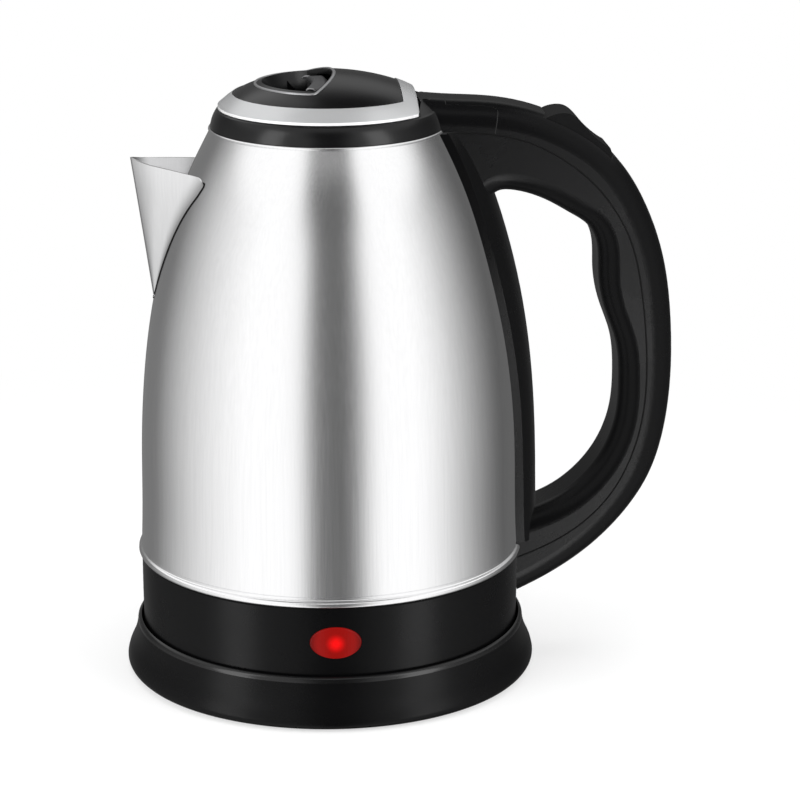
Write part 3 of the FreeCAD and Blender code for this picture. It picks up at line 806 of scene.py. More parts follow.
@dataclass(frozen=True)
class GlowingLens(Finish):
    """Clear red plastic with a small lamp alight behind its middle."""

    glow: Colour = (0.78, 0.0, 0.003)
    dim: Colour = (0.24, 0.0045, 0.003)
    centre: Place = (-2.58 * MM, 0.0, 33.2 * MM)
    spot: float = 4.3
    rim: Pair = (6.5, 10.2)
    rim_level: float = 0.2
    roughness: float = 0.15
    specular: float = 0.08
    ribs: float = 260.0
    rib_depth: Pair = (0.05, 0.2)

    def dress(self, book: NodeBook, shader: bpy.types.Node) -> None:
        """Adds a glowing spot that fades to the sides, over faint ribs, with the base colour painted lighter
        over the spot.

        Args:
            book: Node book of the material.
            shader: Its Principled shader.
        """
        shader.inputs["Roughness"].default_value = self.roughness
        shader.inputs["Specular IOR Level"].default_value = self.specular
        shader.inputs["Emission Strength"].default_value = 1.0
        offset = book.vectors("SUBTRACT", self.place(book), self.centre).outputs[0]
        face = book.vectors("MULTIPLY", offset, (1.0, 0.0, 1.0)).outputs[0]
        away = book.vectors("LENGTH", face).outputs[1]
        near = book.spread(away, (0.0, 1.0), (self.spot * MM, 0.0), soft=True)
        fade = book.spread(away, (self.rim[0] * MM, 1.0), (self.rim[1] * MM, self.rim_level), soft=True)
        ribs = book.add("TexWave", {"Vector": self.place(book), "Scale": self.ribs, "Distortion": 0.3},
                        wave_type="BANDS", bands_direction="X")
        strength, height = self.rib_depth
        relief = book.add("Bump", {"Height": ribs.outputs[1], "Strength": strength, "Distance": height * MM})
        light = book.vectors("MULTIPLY", book.blend(near, self.dim, self.glow), fade)
        # Painted light: the base colour is lighter where the lamp shines through.
        book.join(book.blend(near, self.colour, self.dim), shader, "Base Color")
        book.join(light.outputs[0], shader, "Emission Color")
        book.join(relief.outputs[0], shader, "Normal")


INK: Colour = (0.002, 0.002, 0.0022)


class Finishes(Enum):
    """Every finish on the kettle: those of the record's material slots, and a few for single pieces."""

    black_plastic = Moulding("satin_black_moulding", INK, roughness=0.28, specular=0.1)
    gloss_black = Moulding("smooth_black_moulding", INK, roughness=0.22, depth=0.015, specular=0.32)
    matt_black = Moulding("matt_black_moulding", (0.003, 0.003, 0.0032), roughness=0.5, depth=0.05,
                          specular=0.08)
    lip_black = Moulding("polished_black_lip", INK, roughness=0.2, depth=0.008, specular=0.4)
    steel = BrushedMetal("brushed_steel", (0.92, 0.92, 0.925))
    spout_steel = BrushedMetal("brushed_spout_steel", (0.78, 0.78, 0.785), roughness=0.22)
    spout_inside = FoldedSteel("spout_inside_steel", (0.88, 0.88, 0.885), roughness=0.45)
    silver_trim = Moulding("silver_lacquer", (0.5, 0.505, 0.51), roughness=0.28, metallic=0.6, depth=0.003,
                           spread=0.03)
    # Near-white finish for the band's bevels and outer wall: a painted highlight along its edges.
    bright_edge = Moulding("edge_painted_highlight", (0.9, 0.9, 0.905), roughness=0.2, metallic=0.2, depth=0.003,
                           specular=0.5, spread=0.03)
    lamp_red = GlowingLens("red_lens", (0.05, 0.001, 0.001))
    lamp_glass = Moulding("lamp_glass", (0.8, 0.5, 0.4), roughness=0.1, specular=0.5)
    rubber = Moulding("foot_rubber", (0.02, 0.02, 0.02), roughness=0.8)
    brass = BrushedMetal("contact_brass", (0.78, 0.55, 0.25), roughness=0.28)
    zinc_steel = Moulding("zinc_plate", (0.62, 0.63, 0.65), roughness=0.32, metallic=1.0, spread=0.08)
    aluminium = BrushedMetal("pressed_aluminium", (0.78, 0.79, 0.8), roughness=0.38)
    white_plastic = Moulding("white_heatproof", (0.8, 0.79, 0.75), roughness=0.5, specular=0.4, spread=0.04)
    dark_grey = Moulding("dark_grey_lacquer", (0.06, 0.06, 0.062), roughness=0.35, metallic=0.5, depth=0.02,
                         spread=0.08)
    # Grey for the finger well's bead and the lever's edge beads: a painted highlight on black plastic.
    satin_grey = Moulding("grey_painted_highlight", (0.3, 0.3, 0.305), roughness=0.3, metallic=0.7, depth=0.02,
                          spread=0.08)
    # Black for the beads in the spout's and handle's joints: painted shade where those gaps are dark.
    seal_black = Moulding("painted_shadow_black", (0.002, 0.002, 0.002), roughness=0.6)


NODE_FINISHES = {"top_collar": "gloss_black", "switch_rocker": "matt_black", "latch_lever": "dark_grey"}


@dataclass
class SubAssembly:
    """A group of pieces that belong together.

    Sizes are in millimetres and degrees. A pair in a half section is a radius and a height. The nodes are
    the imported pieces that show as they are.
    """

    nodes: ClassVar[tuple[str, ...]] = ()

    def build(self) -> None:
        """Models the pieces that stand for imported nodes; a group may need none."""

    def dress(self) -> None:
        """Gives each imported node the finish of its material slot, or its own."""
        slots = {entry["node"]: entry["material_slot"] for entry in frame["record"]["subparts"]}
        for name in self.nodes:
            finish = NODE_FINISHES.get(name, slots[name])
            Bench.paint(frame["nodes"][name], finish)
            log.info("%s: %s", name, finish)


@dataclass
class PowerBase(SubAssembly):
    """Round base with its connector tower and foot ring."""

    nodes: ClassVar[tuple[str, ...]] = (
        "base_bottom_plate", "base_foot_ring", "base_screws", "base_socket", "base_contacts")
    foot: tuple[Pair, Pair, Pair] = ((76.4, 1.0), (78.6, 1.0), (79.7, 2.4))
    flare: tuple[Pair, ...] = ((80.0, 4.4), (79.4, 6.8), (77.9, 10.2), (76.4, 14.6), (75.75, 18.0))
    lip_round: Pair = (75.4, 19.55)
    lip_top: Pair = (74.4, 20.2)
    cove: tuple[Pair, Pair] = ((74.4, 14.0), (74.0, 12.95))
    recess: float = 73.0
    floor: float = 12.5
    under: float = 10.5
    inside: tuple[Pair, Pair] = ((75.6, 8.2), (77.7, 4.2))
    tower_ring: Pair = (21.5, 19.5)
    ring_top: float = 14.4
    tower_hole: float = 16.3
    arch_half: float = 4.5
    arch_spring: float = 5.0
    arch_foot: float = -1.0
    arch_from: float = 70.0
    arch_through: float = 20.0
    lip_margin: float = 0.02
    steps: int = 240
    finishes: tuple[str, str] = ("black_plastic", "lip_black")

    def profile(self) -> list[Pair]:
        """Half section of the cover: up its flared side, over the rounded lip, down into the recess and back.

        Returns:
            Radius and height of each corner.
        """
        (ring_out, ring_in), hole, floor = self.tower_ring, self.tower_hole, self.floor
        line = [*self.foot[:2], *arc(*self.foot[1:], self.flare[0], steps=6)]
        line += fair_curve(self.flare, steps=8)[1:]
        line += arc(self.flare[-1], self.lip_round, self.lip_top, steps=10)
        line += [self.cove[0], *arc(*self.cove, (self.recess, floor), steps=5)]
        line += [(ring_out, floor), (ring_out, self.ring_top), (ring_in, self.ring_top), (ring_in, floor)]
        line += [(hole, floor), (hole, self.under), (self.recess, self.under)]
        line += arc((self.recess, self.under), *self.inside, steps=6)
        return line

    def cord_arch(self) -> Piece:
        """Block that leaves the arch for a cord at the back.

        Returns:
            The cutter.
        """
        half, spring = self.arch_half, self.arch_spring
        top = arc((half, spring), (0.0, spring + half), (-half, spring), steps=12)
        outline = [(half, self.arch_foot), (half, spring), *top, (-half, self.arch_foot)]
        route = [(x * MM, self.arch_from * MM, z * MM) for x, z in outline]
        return Bench.prism("arch_cutter", route, (0.0, self.arch_through * MM, 0.0))

    def build(self) -> None:
        """Spins the cover, polishes its lip and cuts the arch."""
        cover = Bench.turn("base_cover", self.profile(), self.steps)
        Bench.paint(cover, *self.finishes)
        low, inner = self.flare[-1][1], self.lip_top[0] + self.lip_margin
        for face in cover.data.polygons:
            height, reach = face.center.z / MM, hypot(face.center.x, face.center.y) / MM
            face.material_index = int(height > low and reach > inner)
        Bench.cut(cover, self.cord_arch())
        Bench.smooth(cover)
        Bench.fit(cover, "base", "black_plastic", "base_housing", finishes=self.finishes)


@dataclass
class Underside(SubAssembly):
    """Black skirt, lamp, heater and connector under the body."""

    nodes: ClassVar[tuple[str, ...]] = (
        "kettle_coupler", "coupler_contacts", "lower_skirt", "indicator_lens", "neon_lamp", "lamp_holder",
        "skirt_screws", "plate_studs", "heater_plate", "heat_spreader", "heating_element", "control_block",
        "bimetal_discs")


@dataclass
class SteelBody(SubAssembly):
    """Tapering steel wall with its rolled bead."""

    wall: float = 0.8
    hem: tuple[Pair, Pair] = ((71.0, 40.0), (71.0, 46.6))
    bead: tuple[Pair, Pair, Pair] = ((73.2, 46.9), (74.7, 48.1), (73.6, 49.3))
    groove: Pair = (73.0, 49.8)
    curve: tuple[Pair, ...] = ((73.5, 51.0), (73.0, 65.0), (72.6, 90.0), (71.2, 115.0), (68.1, 140.0),
                               (62.75, 165.0), (54.9, 190.0), (44.0, 212.6))
    neck: float = 211.8
    rolled_edge: tuple[Pair, Pair, Pair] = ((44.26, 212.14), (44.75, 212.75), (44.15, 213.35))
    ledge: tuple[Pair, Pair, Pair] = ((40.6, 213.4), (40.6, 212.6), (42.9, 212.6))
    inner_groove: tuple[Pair, Pair, Pair] = ((72.7, 51.0), (72.4, 49.8), (72.8, 49.0))
    inner_bead: tuple[Pair, Pair] = ((73.7, 48.1), (72.6, 47.4))
    inner_hem: tuple[Pair, Pair] = ((70.2, 46.8), (70.2, 40.0))
    mouth_nose: tuple[Pair, Pair, Pair] = ((-63.2, -1.9), (-64.8, 0.0), (-63.2, 1.9))
    mouth_back: tuple[Pair, Pair] = ((-40.0, 26.0), (-40.0, -26.0))
    mouth_foot: float = 157.0
    mouth_rise: Pair = (-3.8, 27.0)
    steps: int = 240

    def radius(self, height: float) -> float:
        """Outside radius of the wall.

        Args:
            height: Above the table, in millimetres.

        Returns:
            The radius in millimetres.
        """
        return read_off([(z, r) for r, z in fair_curve(self.curve, steps=8)], height)

    def profile(self) -> list[Pair]:
        """Half section of the wall: up its outside, over the rolled top edge, down its inside.

        Returns:
            Radius and height of each corner.
        """
        rise = fair_curve(self.curve, steps=8)
        outside = [*self.hem, self.bead[0], *arc(*self.bead, steps=8)]
        outside += arc(self.bead[-1], self.groove, self.curve[0], steps=5)
        outside += [(r, z) for r, z in rise[1:] if z < self.neck]
        outside += [self.rolled_edge[0], *arc(*self.rolled_edge, steps=10)]
        inside = [*self.ledge, *((r - self.wall, z) for r, z in rise[-2::-1])]
        inside += arc(*self.inner_groove, steps=4)
        inside += arc(self.inner_groove[-1], *self.inner_bead, steps=6)
        inside += self.inner_hem
        return outside + inside

    def mouth(self) -> Piece:
        """Block that opens the wall into the spout.

        Returns:
            The cutter.
        """
        outline = [self.mouth_nose[0], *arc(*self.mouth_nose, steps=6), *self.mouth_back]
        route = [(x * MM, y * MM, self.mouth_foot * MM) for x, y in outline]
        lean, rise = self.mouth_rise
        return Bench.prism("mouth_cutter", route, (lean * MM, 0.0, rise * MM))

    def build(self) -> None:
        """Spins the wall and opens it into the spout."""
        shell = Bench.turn("steel_body", self.profile(), self.steps)
        Bench.cut(shell, self.mouth())
        Bench.smooth(shell)
        Bench.fit(shell, "kettle", "steel", "body_shell")


@dataclass
class Spout(SubAssembly):
    """Folded steel beak, flared where it lies on the wall."""

    body: SteelBody
    foot: float = 148.0
    sections: tuple[tuple[float, float, float, float], ...] = (
        (148.0, -66.6, 5.0, 43.5), (170.0, -69.6, 4.2, 38.5), (190.0, -72.4, 3.5, 34.5),
        (206.0, -74.7, 3.0, 29.5))
    rim: tuple[Pair, ...] = ((-84.0, 206.4), (-74.0, 202.3), (-70.5, 201.4), (-66.8, 200.7), (-59.3, 199.7),
                             (-49.6, 198.3), (-48.5, 197.6), (-47.8, 196.2), (-46.4, 185.0))
    bulge: float = 2.0
    bulge_reach: float = 11.0
    flare: float = 2.2
    flare_reach: float = 8.0
    full_length: float = 24.0
    wall: float = 0.8
    nose_share: float = 0.34
    wall_gap: float = 0.15
    edge: float = 0.18
    edge_angle: float = 50.0
    smooth_angle: float = 40.0
    columns: int = 72
    rows: int = 48
    finishes: tuple[str, str] = ("spout_steel", "spout_inside")
    # Radius of the black bead that paints the shade in the joint of beak and wall.
    seal: float = 0.38
    seal_lap: float = 0.8
    seal_start: float = 0.6
    seal_steps: int = 36
    seal_hook: tuple[Pair, ...] = ((0.8, 0.3), (1.4, 1.0), (1.6, 1.9))

    def section(self, height: float) -> tuple[float, float, float]:
        """Keel, nose radius and half angle of the fold at one height.

        Args:
            height: In millimetres.

        Returns:
            The three values, the angle in radians.
        """
        heights, *columns = zip(*self.sections)
        keel, nose, angle = (read_off(list(zip(heights, column)), height) for column in columns)
        return keel, nose, radians(angle)

    def rim_height(self, x: float) -> float:
        """Height of the rim over a place along the kettle.

        Args:
            x: The place in millimetres.

        Returns:
            The height in millimetres.
        """
        return read_off(self.rim, x)

    def across(self, side: float, height: float) -> Pair:
        """Point on the outside of the fold at one height.

        Args:
            side: From 0 on the keel to 1 on the wall.
            height: In millimetres.

        Returns:
            Its place along and across the kettle.
        """
        keel, nose, angle = self.section(height)
        turned = angle + atan(2.0 * self.bulge / self.bulge_reach)
        centre = keel + nose
        if side <= self.nose_share:
            turn = (pi / 2.0 - turned) * side / self.nose_share
            return centre - nose * cos(turn), nose * sin(turn)
        x, y = centre - nose * sin(turned), nose * cos(turned)
        scale = max(1e-6, min(1.0, self.to_wall((x, y), angle, height) / self.full_length))
        away = (self.bulge + self.flare) * scale
        length = self.to_wall((x - away * sin(angle), y + away * cos(angle)), angle, height)
        run = length * (side - self.nose_share) / (1.0 - self.nose_share)
        lift = self.bulge * scale * (1.0 - max(0.0, 1.0 - run / (self.bulge_reach * scale)) ** 2)
        lift += self.flare * scale * max(0.0, 1.0 - (length - run) / (self.flare_reach * scale)) ** 2
        return x + run * cos(angle) - lift * sin(angle), y + run * sin(angle) + lift * cos(angle)

    def to_wall(self, start: Pair, angle: float, height: float) -> float:
        """Distance from a point to the outside of the body's wall.

        Args:
            start: The point, along and across the kettle.
            angle: Direction to go, in radians from the kettle's length.
            height: In millimetres.

        Returns:
            The distance in millimetres, none from inside the wall.
        """
        reach = self.body.radius(height) + self.wall_gap
        along = start[0] * cos(angle) + start[1] * sin(angle)
        inside = along * along - start[0] ** 2 - start[1] ** 2 + reach * reach
        return max(0.0, -along - sqrt(max(0.0, inside)))

    def top(self, side: float) -> float:
        """Height at which a line up the fold meets the rim.

        Args:
            side: From 0 on the keel to 1 on the wall.

        Returns:
            The height in millimetres.
        """
        return halve(self.foot, self.sections[-1][0],
                     lambda height: self.rim_height(self.across(side, height)[0]) > height)[0]

    def beak(self) -> Piece:
        """Both sides of the fold, given the sheet's thickness.

        Returns:
            The finished piece.
        """
        tops = [self.top(abs(2.0 * i / self.columns - 1.0)) for i in range(self.columns + 1)]

        def place(u: float, v: float) -> Place:
            """Point on the beak's outside."""
            side = 2.0 * u - 1.0
            height = self.foot + (tops[round(u * self.columns)] - self.foot) * v
            x, y = self.across(abs(side), height)
            return (x * MM, (-y if side > 0.0 else y) * MM, height * MM)

        piece = Bench.sheet("steel_spout", self.columns, self.rows, place)
        Bench.paint(piece, *self.finishes)
        Bench.apply(piece, "SOLIDIFY", thickness=self.wall * MM, offset=-1.0, material_offset=1)
        Bench.bevel(piece, self.edge, self.edge_angle)
        Bench.smooth(piece, self.smooth_angle)
        return piece

    def joint(self, height: float, shift: float = 0.0) -> Place:
        """Point on the wall just outside the fold's edge.

        Args:
            height: In millimetres.
            shift: How much nearer to the keel, in millimetres.

        Returns:
            The point on the far side, in metres.
        """
        radius, side = self.body.radius(height), 1.0
        if hypot(*self.across(side, height)) < radius:
            side = halve(0.0, side, lambda middle: hypot(*self.across(middle, height)) > radius)[1]
        x, y = self.across(side, height)
        turn = atan2(y, x) - (self.seal_lap * self.seal - shift) / radius
        return (radius * cos(turn) * MM, radius * sin(turn) * MM, height * MM)

    def seal_line(self) -> Piece:
        """Black bead that follows the joint of beak and wall, hooked over its two upper corners: painted
        shade standing in for the shadow in the joint.

        Returns:
            The finished piece.
        """
        top, low, steps = self.top(1.0), self.foot + self.seal_start, self.seal_steps
        side = [self.joint(low + (top - low) * k / steps) for k in range(steps + 1)]
        side += [self.joint(top + rise, shift) for rise, shift in self.seal_hook]
        keel = (-self.body.radius(self.foot) * MM, 0.0, self.foot * MM)
        mirrored = [(x, -y, z) for x, y, z in side]
        piece = Bench.trace("seal_line", [*side[::-1], keel, *mirrored])
        return Bench.round_wire(piece, self.seal)

    def build(self) -> None:
        """Models the beak and the black bead of painted shade along its joint."""
        Bench.fit(self.beak(), "kettle", "steel", "spout", finishes=self.finishes)
        Bench.fit(self.seal_line(), "kettle", "seal_black", "spout_seal")

    def dress(self) -> None:
        """Keeps the spout's shape out of the steel's gloss."""
        bpy.data.objects["steel_spout"].visible_glossy = False


@dataclass
class Lid(SubAssembly):
    """Hinged lid: black crown with its finger well, silver band, lever and liner."""

    nodes: ClassVar[tuple[str, ...]] = (
        "lid_cover", "lid_liner", "lid_screws", "latch_lever", "latch_bolt", "latch_spring")
    crown: tuple[Pair, ...] = ((41.0, 221.3), (36.0, 225.3), (31.5, 227.8), (26.0, 229.9), (18.5, 231.9),
                               (9.0, 233.5), (0.0, 234.0))
    band_out: Place = (41.0, 32.8, 5.0)
    band_in: Place = (35.5, 27.0, 1.0)
    band_steps: tuple[int, int, int] = (20, 8, 140)
    band_rows: int = 6
    band_proud: float = 0.4
    band_deep: float = 2.0
    band_bottom: float = 220.7
    band_edge: float = 0.42
    band_edge_angle: float = 40.0
    band_smooth_angle: float = 24.0
    band_wall: Pair = (40.7, 0.6)
    band_finishes: tuple[str, str] = ("silver_trim", "bright_edge")
    well_front: float = -26.0
    well_back: float = 2.0
    well_tip: Pair = (-6.0, 25.4)
    well_steps: tuple[int, int] = (48, 40)
    bead: float = 0.6
    bead_out: float = 0.8
    bead_sunk: float = 0.15
    lever_pivot: float = -42.3
    lever_turn: float = -21.6
    lever_top: float = 231.1
    lever_foot: Pair = (41.2, 225.0)
    lever_shoulder: tuple[Pair, Pair, Pair] = ((41.2, -5.0), (40.9, -2.7), (39.4, -1.6))
    lever_curl: tuple[Pair, Pair] = ((38.0, -1.3), (36.6, -2.0))
    lever_under: float = 2.8
    lever_bead: float = 0.32
    lever_ends: tuple[tuple[str, float], ...] = (("near_lever_edge", 1.0), ("far_lever_edge", -1.0))

    def height(self, radius: float) -> float:
        """Height of the crown at a distance from the axis.

        Args:
            radius: The distance in millimetres.

        Returns:
            The height in millimetres.
        """
        return read_off(fair_curve(self.crown, steps=12)[::-1], radius)

    def d_outline(self, radius: float, flat: float, corner: float) -> list[Pair]:
        """D-shaped outline with rounded corners, the same number of points for every size.

        Args:
            radius: Of the round front.
            flat: Distance of the straight back edge from the axis.
            corner: Radius of the two corners.

        Returns:
            Points anticlockwise from the start of the straight edge, the first one again at the end.
        """
        along, bend, front = self.band_steps
        x = flat - corner
        y = sqrt((radius - corner) ** 2 - x ** 2)
        aim = atan2(y, x)
        turns = [aim * k / bend for k in range(bend + 1)]
        sweep = [aim + (2.0 * pi - 2.0 * aim) * k / front for k in range(front)]
        line = [(flat, -y + 2.0 * y * k / along) for k in range(along)]
        line += [(x + corner * cos(t), y + corner * sin(t)) for t in turns[:-1]]
        line += [(radius * cos(t), radius * sin(t)) for t in sweep]
        line += [(x + corner * cos(t - aim), -y + corner * sin(t - aim)) for t in turns]
        return line

    def band(self) -> Piece:
        """Silver band, laid over the crown and bevelled along its edges, with a painted highlight on the
        bevels and outer wall.

        Returns:
            The finished piece.
        """
        outer = self.d_outline(*self.band_out)
        inner = self.d_outline(*self.band_in)
        count = len(outer) - 1

        def place(u: float, v: float) -> Place:
            """Point on the band's top."""
            i = round(u * count)
            x = outer[i][0] + (inner[i][0] - outer[i][0]) * v
            y = outer[i][1] + (inner[i][1] - outer[i][1]) * v
            return (x * MM, y * MM, (self.height(hypot(x, y)) + self.band_proud) * MM)

        piece = Bench.sheet("silver_band", count, self.band_rows, place)
        Bench.open()
        bpy.ops.mesh.extrude_region_move(TRANSFORM_OT_translate={"value": (0.0, 0.0, -self.band_deep * MM)})
        Bench.heal()
        bpy.ops.mesh.bisect(plane_co=(0.0, 0.0, self.band_bottom * MM), plane_no=(0.0, 0.0, 1.0),
                            use_fill=True, clear_inner=True)
        bpy.ops.object.mode_set(mode="OBJECT")
        Bench.paint(piece, *self.band_finishes)
        # Bevel faces and the steep outer wall take the near-white second finish: a painted highlight.
        Bench.bevel(piece, self.band_edge, self.band_edge_angle, material=1)
        reach, steep = self.band_wall
        for face in piece.data.polygons:
            if hypot(face.center.x, face.center.y) > reach * MM and face.normal.z < steep:
                face.material_index = 1
        Bench.smooth(piece, self.band_smooth_angle)
        return piece

    def well_route(self) -> list[Place]:
        """Line round the finger well, on the crown, with its two side corners eased.

        Returns:
            Points in metres.
        """
        (tip_x, tip_y), grow = self.well_tip, self.bead_out
        low, high = (tip_x, -tip_y - grow), (tip_x, tip_y + grow)
        front = [low, *arc(low, (self.well_front - grow, 0.0), high, self.well_steps[0])]
        back = [high, *arc(high, (self.well_back + grow, 0.0), low, self.well_steps[1])]
        flat: list[Pair] = []
        for run, corner, after in ((front, high, back), (back, low, front)):
            flat += run[1:-1]
            flat.append(tuple(0.5 * corner[i] + 0.25 * (run[-2][i] + after[1][i]) for i in (0, 1)))
        return [(x * MM, y * MM, (self.height(hypot(x, y)) - self.bead_sunk) * MM) for x, y in flat]

    def well_bead(self) -> Piece:
        """Raised bead round the finger well, grey as a painted highlight on its rounded top.

        Returns:
            The finished piece.
        """
        return Bench.round_wire(Bench.trace("well_bead", self.well_route()), self.bead, closed=True)

    def lever_edge(self, name: str, side: float) -> Piece:
        """Grey bead up one end of the lever and over its curled top, a painted highlight along that edge.

        Args:
            name: The piece's name.
            side: 1 for the near end, -1 for the far end.

        Returns:
            The finished piece.
        """
        shoulder = [(reach, self.lever_top + z) for reach, z in self.lever_shoulder]
        curl = [(reach, self.lever_top + z) for reach, z in self.lever_curl]
        line = [self.lever_foot, shoulder[0], *arc(*shoulder, steps=8), *arc(shoulder[-1], *curl, steps=6)]
        turn = radians(self.lever_turn * side)
        route: list[Place] = []
        for reach, z in line:
            x, y = self.lever_pivot + reach * cos(turn), reach * sin(turn)
            route.append((x * MM, y * MM, min(z, self.height(hypot(x, y)) - self.lever_under) * MM))
        return Bench.round_wire(Bench.trace(name, route), self.lever_bead)

    def build(self) -> None:
        """Models the band and the beads."""
        Bench.fit(self.band(), "lid", "silver_trim", "lid_trim", finishes=self.band_finishes)
        Bench.fit(self.well_bead(), "lid", "satin_grey", "well_rim")
        for name, side in self.lever_ends:
            Bench.fit(self.lever_edge(name, side), "lid_latch", "satin_grey")


@dataclass
class Handle(SubAssembly):
    """Two-part handle with the hinge cover, rocker switch and neck collar."""

    nodes: ClassVar[tuple[str, ...]] = (
        "top_collar", "lid_hinge_pin", "handle_inner", "handle_outer", "hinge_cover", "switch_rocker",
        "rocker_pin", "steam_tube")
    in_gloss: tuple[str, ...] = ("top_collar", "lid_hinge_pin")
    parting: tuple[Pair, ...] = (
        (34.0, 212.4), (60.2, 211.6), (73.5, 208.8), (88.5, 201.3), (100.0, 192.0), (108.8, 180.8),
        (114.6, 169.4), (119.0, 151.0), (121.6, 126.0), (121.2, 104.0), (117.6, 87.0), (107.5, 67.2),
        (91.0, 52.6), (75.2, 45.0), (56.0, 38.6))
    middle: Pair = (82.0, 120.0)
    joints: tuple[tuple[str, float], ...] = (("near_joint", -1.0), ("far_joint", 1.0))
    joint: float = 0.36
    joint_sunk: float = 0.12
    feel_in: float = 0.5
    feel_from: float = 40.0
    feel_reach: float = 30.0

    def joint_line(self, name: str, side: float) -> Piece:
        """Black bead in the joint of the two halves, on one side: painted shade standing in for the shadow in
        the gap.

        Args:
            name: The piece's name.
            side: -1 for the near side, 1 for the far side.

        Returns:
            The finished piece.
        """
        half = frame["nodes"]["handle_inner"]
        away = half.matrix_world.inverted()
        route: list[Place] = []
        for x, z in fair_curve(self.parting, steps=8):
            inward = Vector((self.middle[0] - x, 0.0, self.middle[1] - z)).normalized() * self.feel_in * MM
            start = away @ (Vector((x * MM, side * self.feel_from * MM, z * MM)) + inward)
            found, spot, _, _ = half.ray_cast(start, away.to_3x3() @ Vector((0.0, -side, 0.0)),
                                              distance=self.feel_reach * MM)
            if found:
                y = (half.matrix_world @ spot).y - side * self.joint_sunk * MM
                route.append((x * MM, y, z * MM))
        return Bench.round_wire(Bench.trace(name, route), self.joint)

    def build(self) -> None:
        """Lays the black bead of painted shade into the joint on both sides."""
        for name, side in self.joints:
            Bench.fit(self.joint_line(name, side), "kettle", "seal_black")

    def dress(self) -> None:
        """Dresses the handle, and keeps its shape out of the steel's gloss."""
        super().dress()
        for name in self.nodes:
            frame["nodes"][name].visible_glossy = name in self.in_gloss
        for name, _ in self.joints:
            bpy.data.objects[name].visible_glossy = False


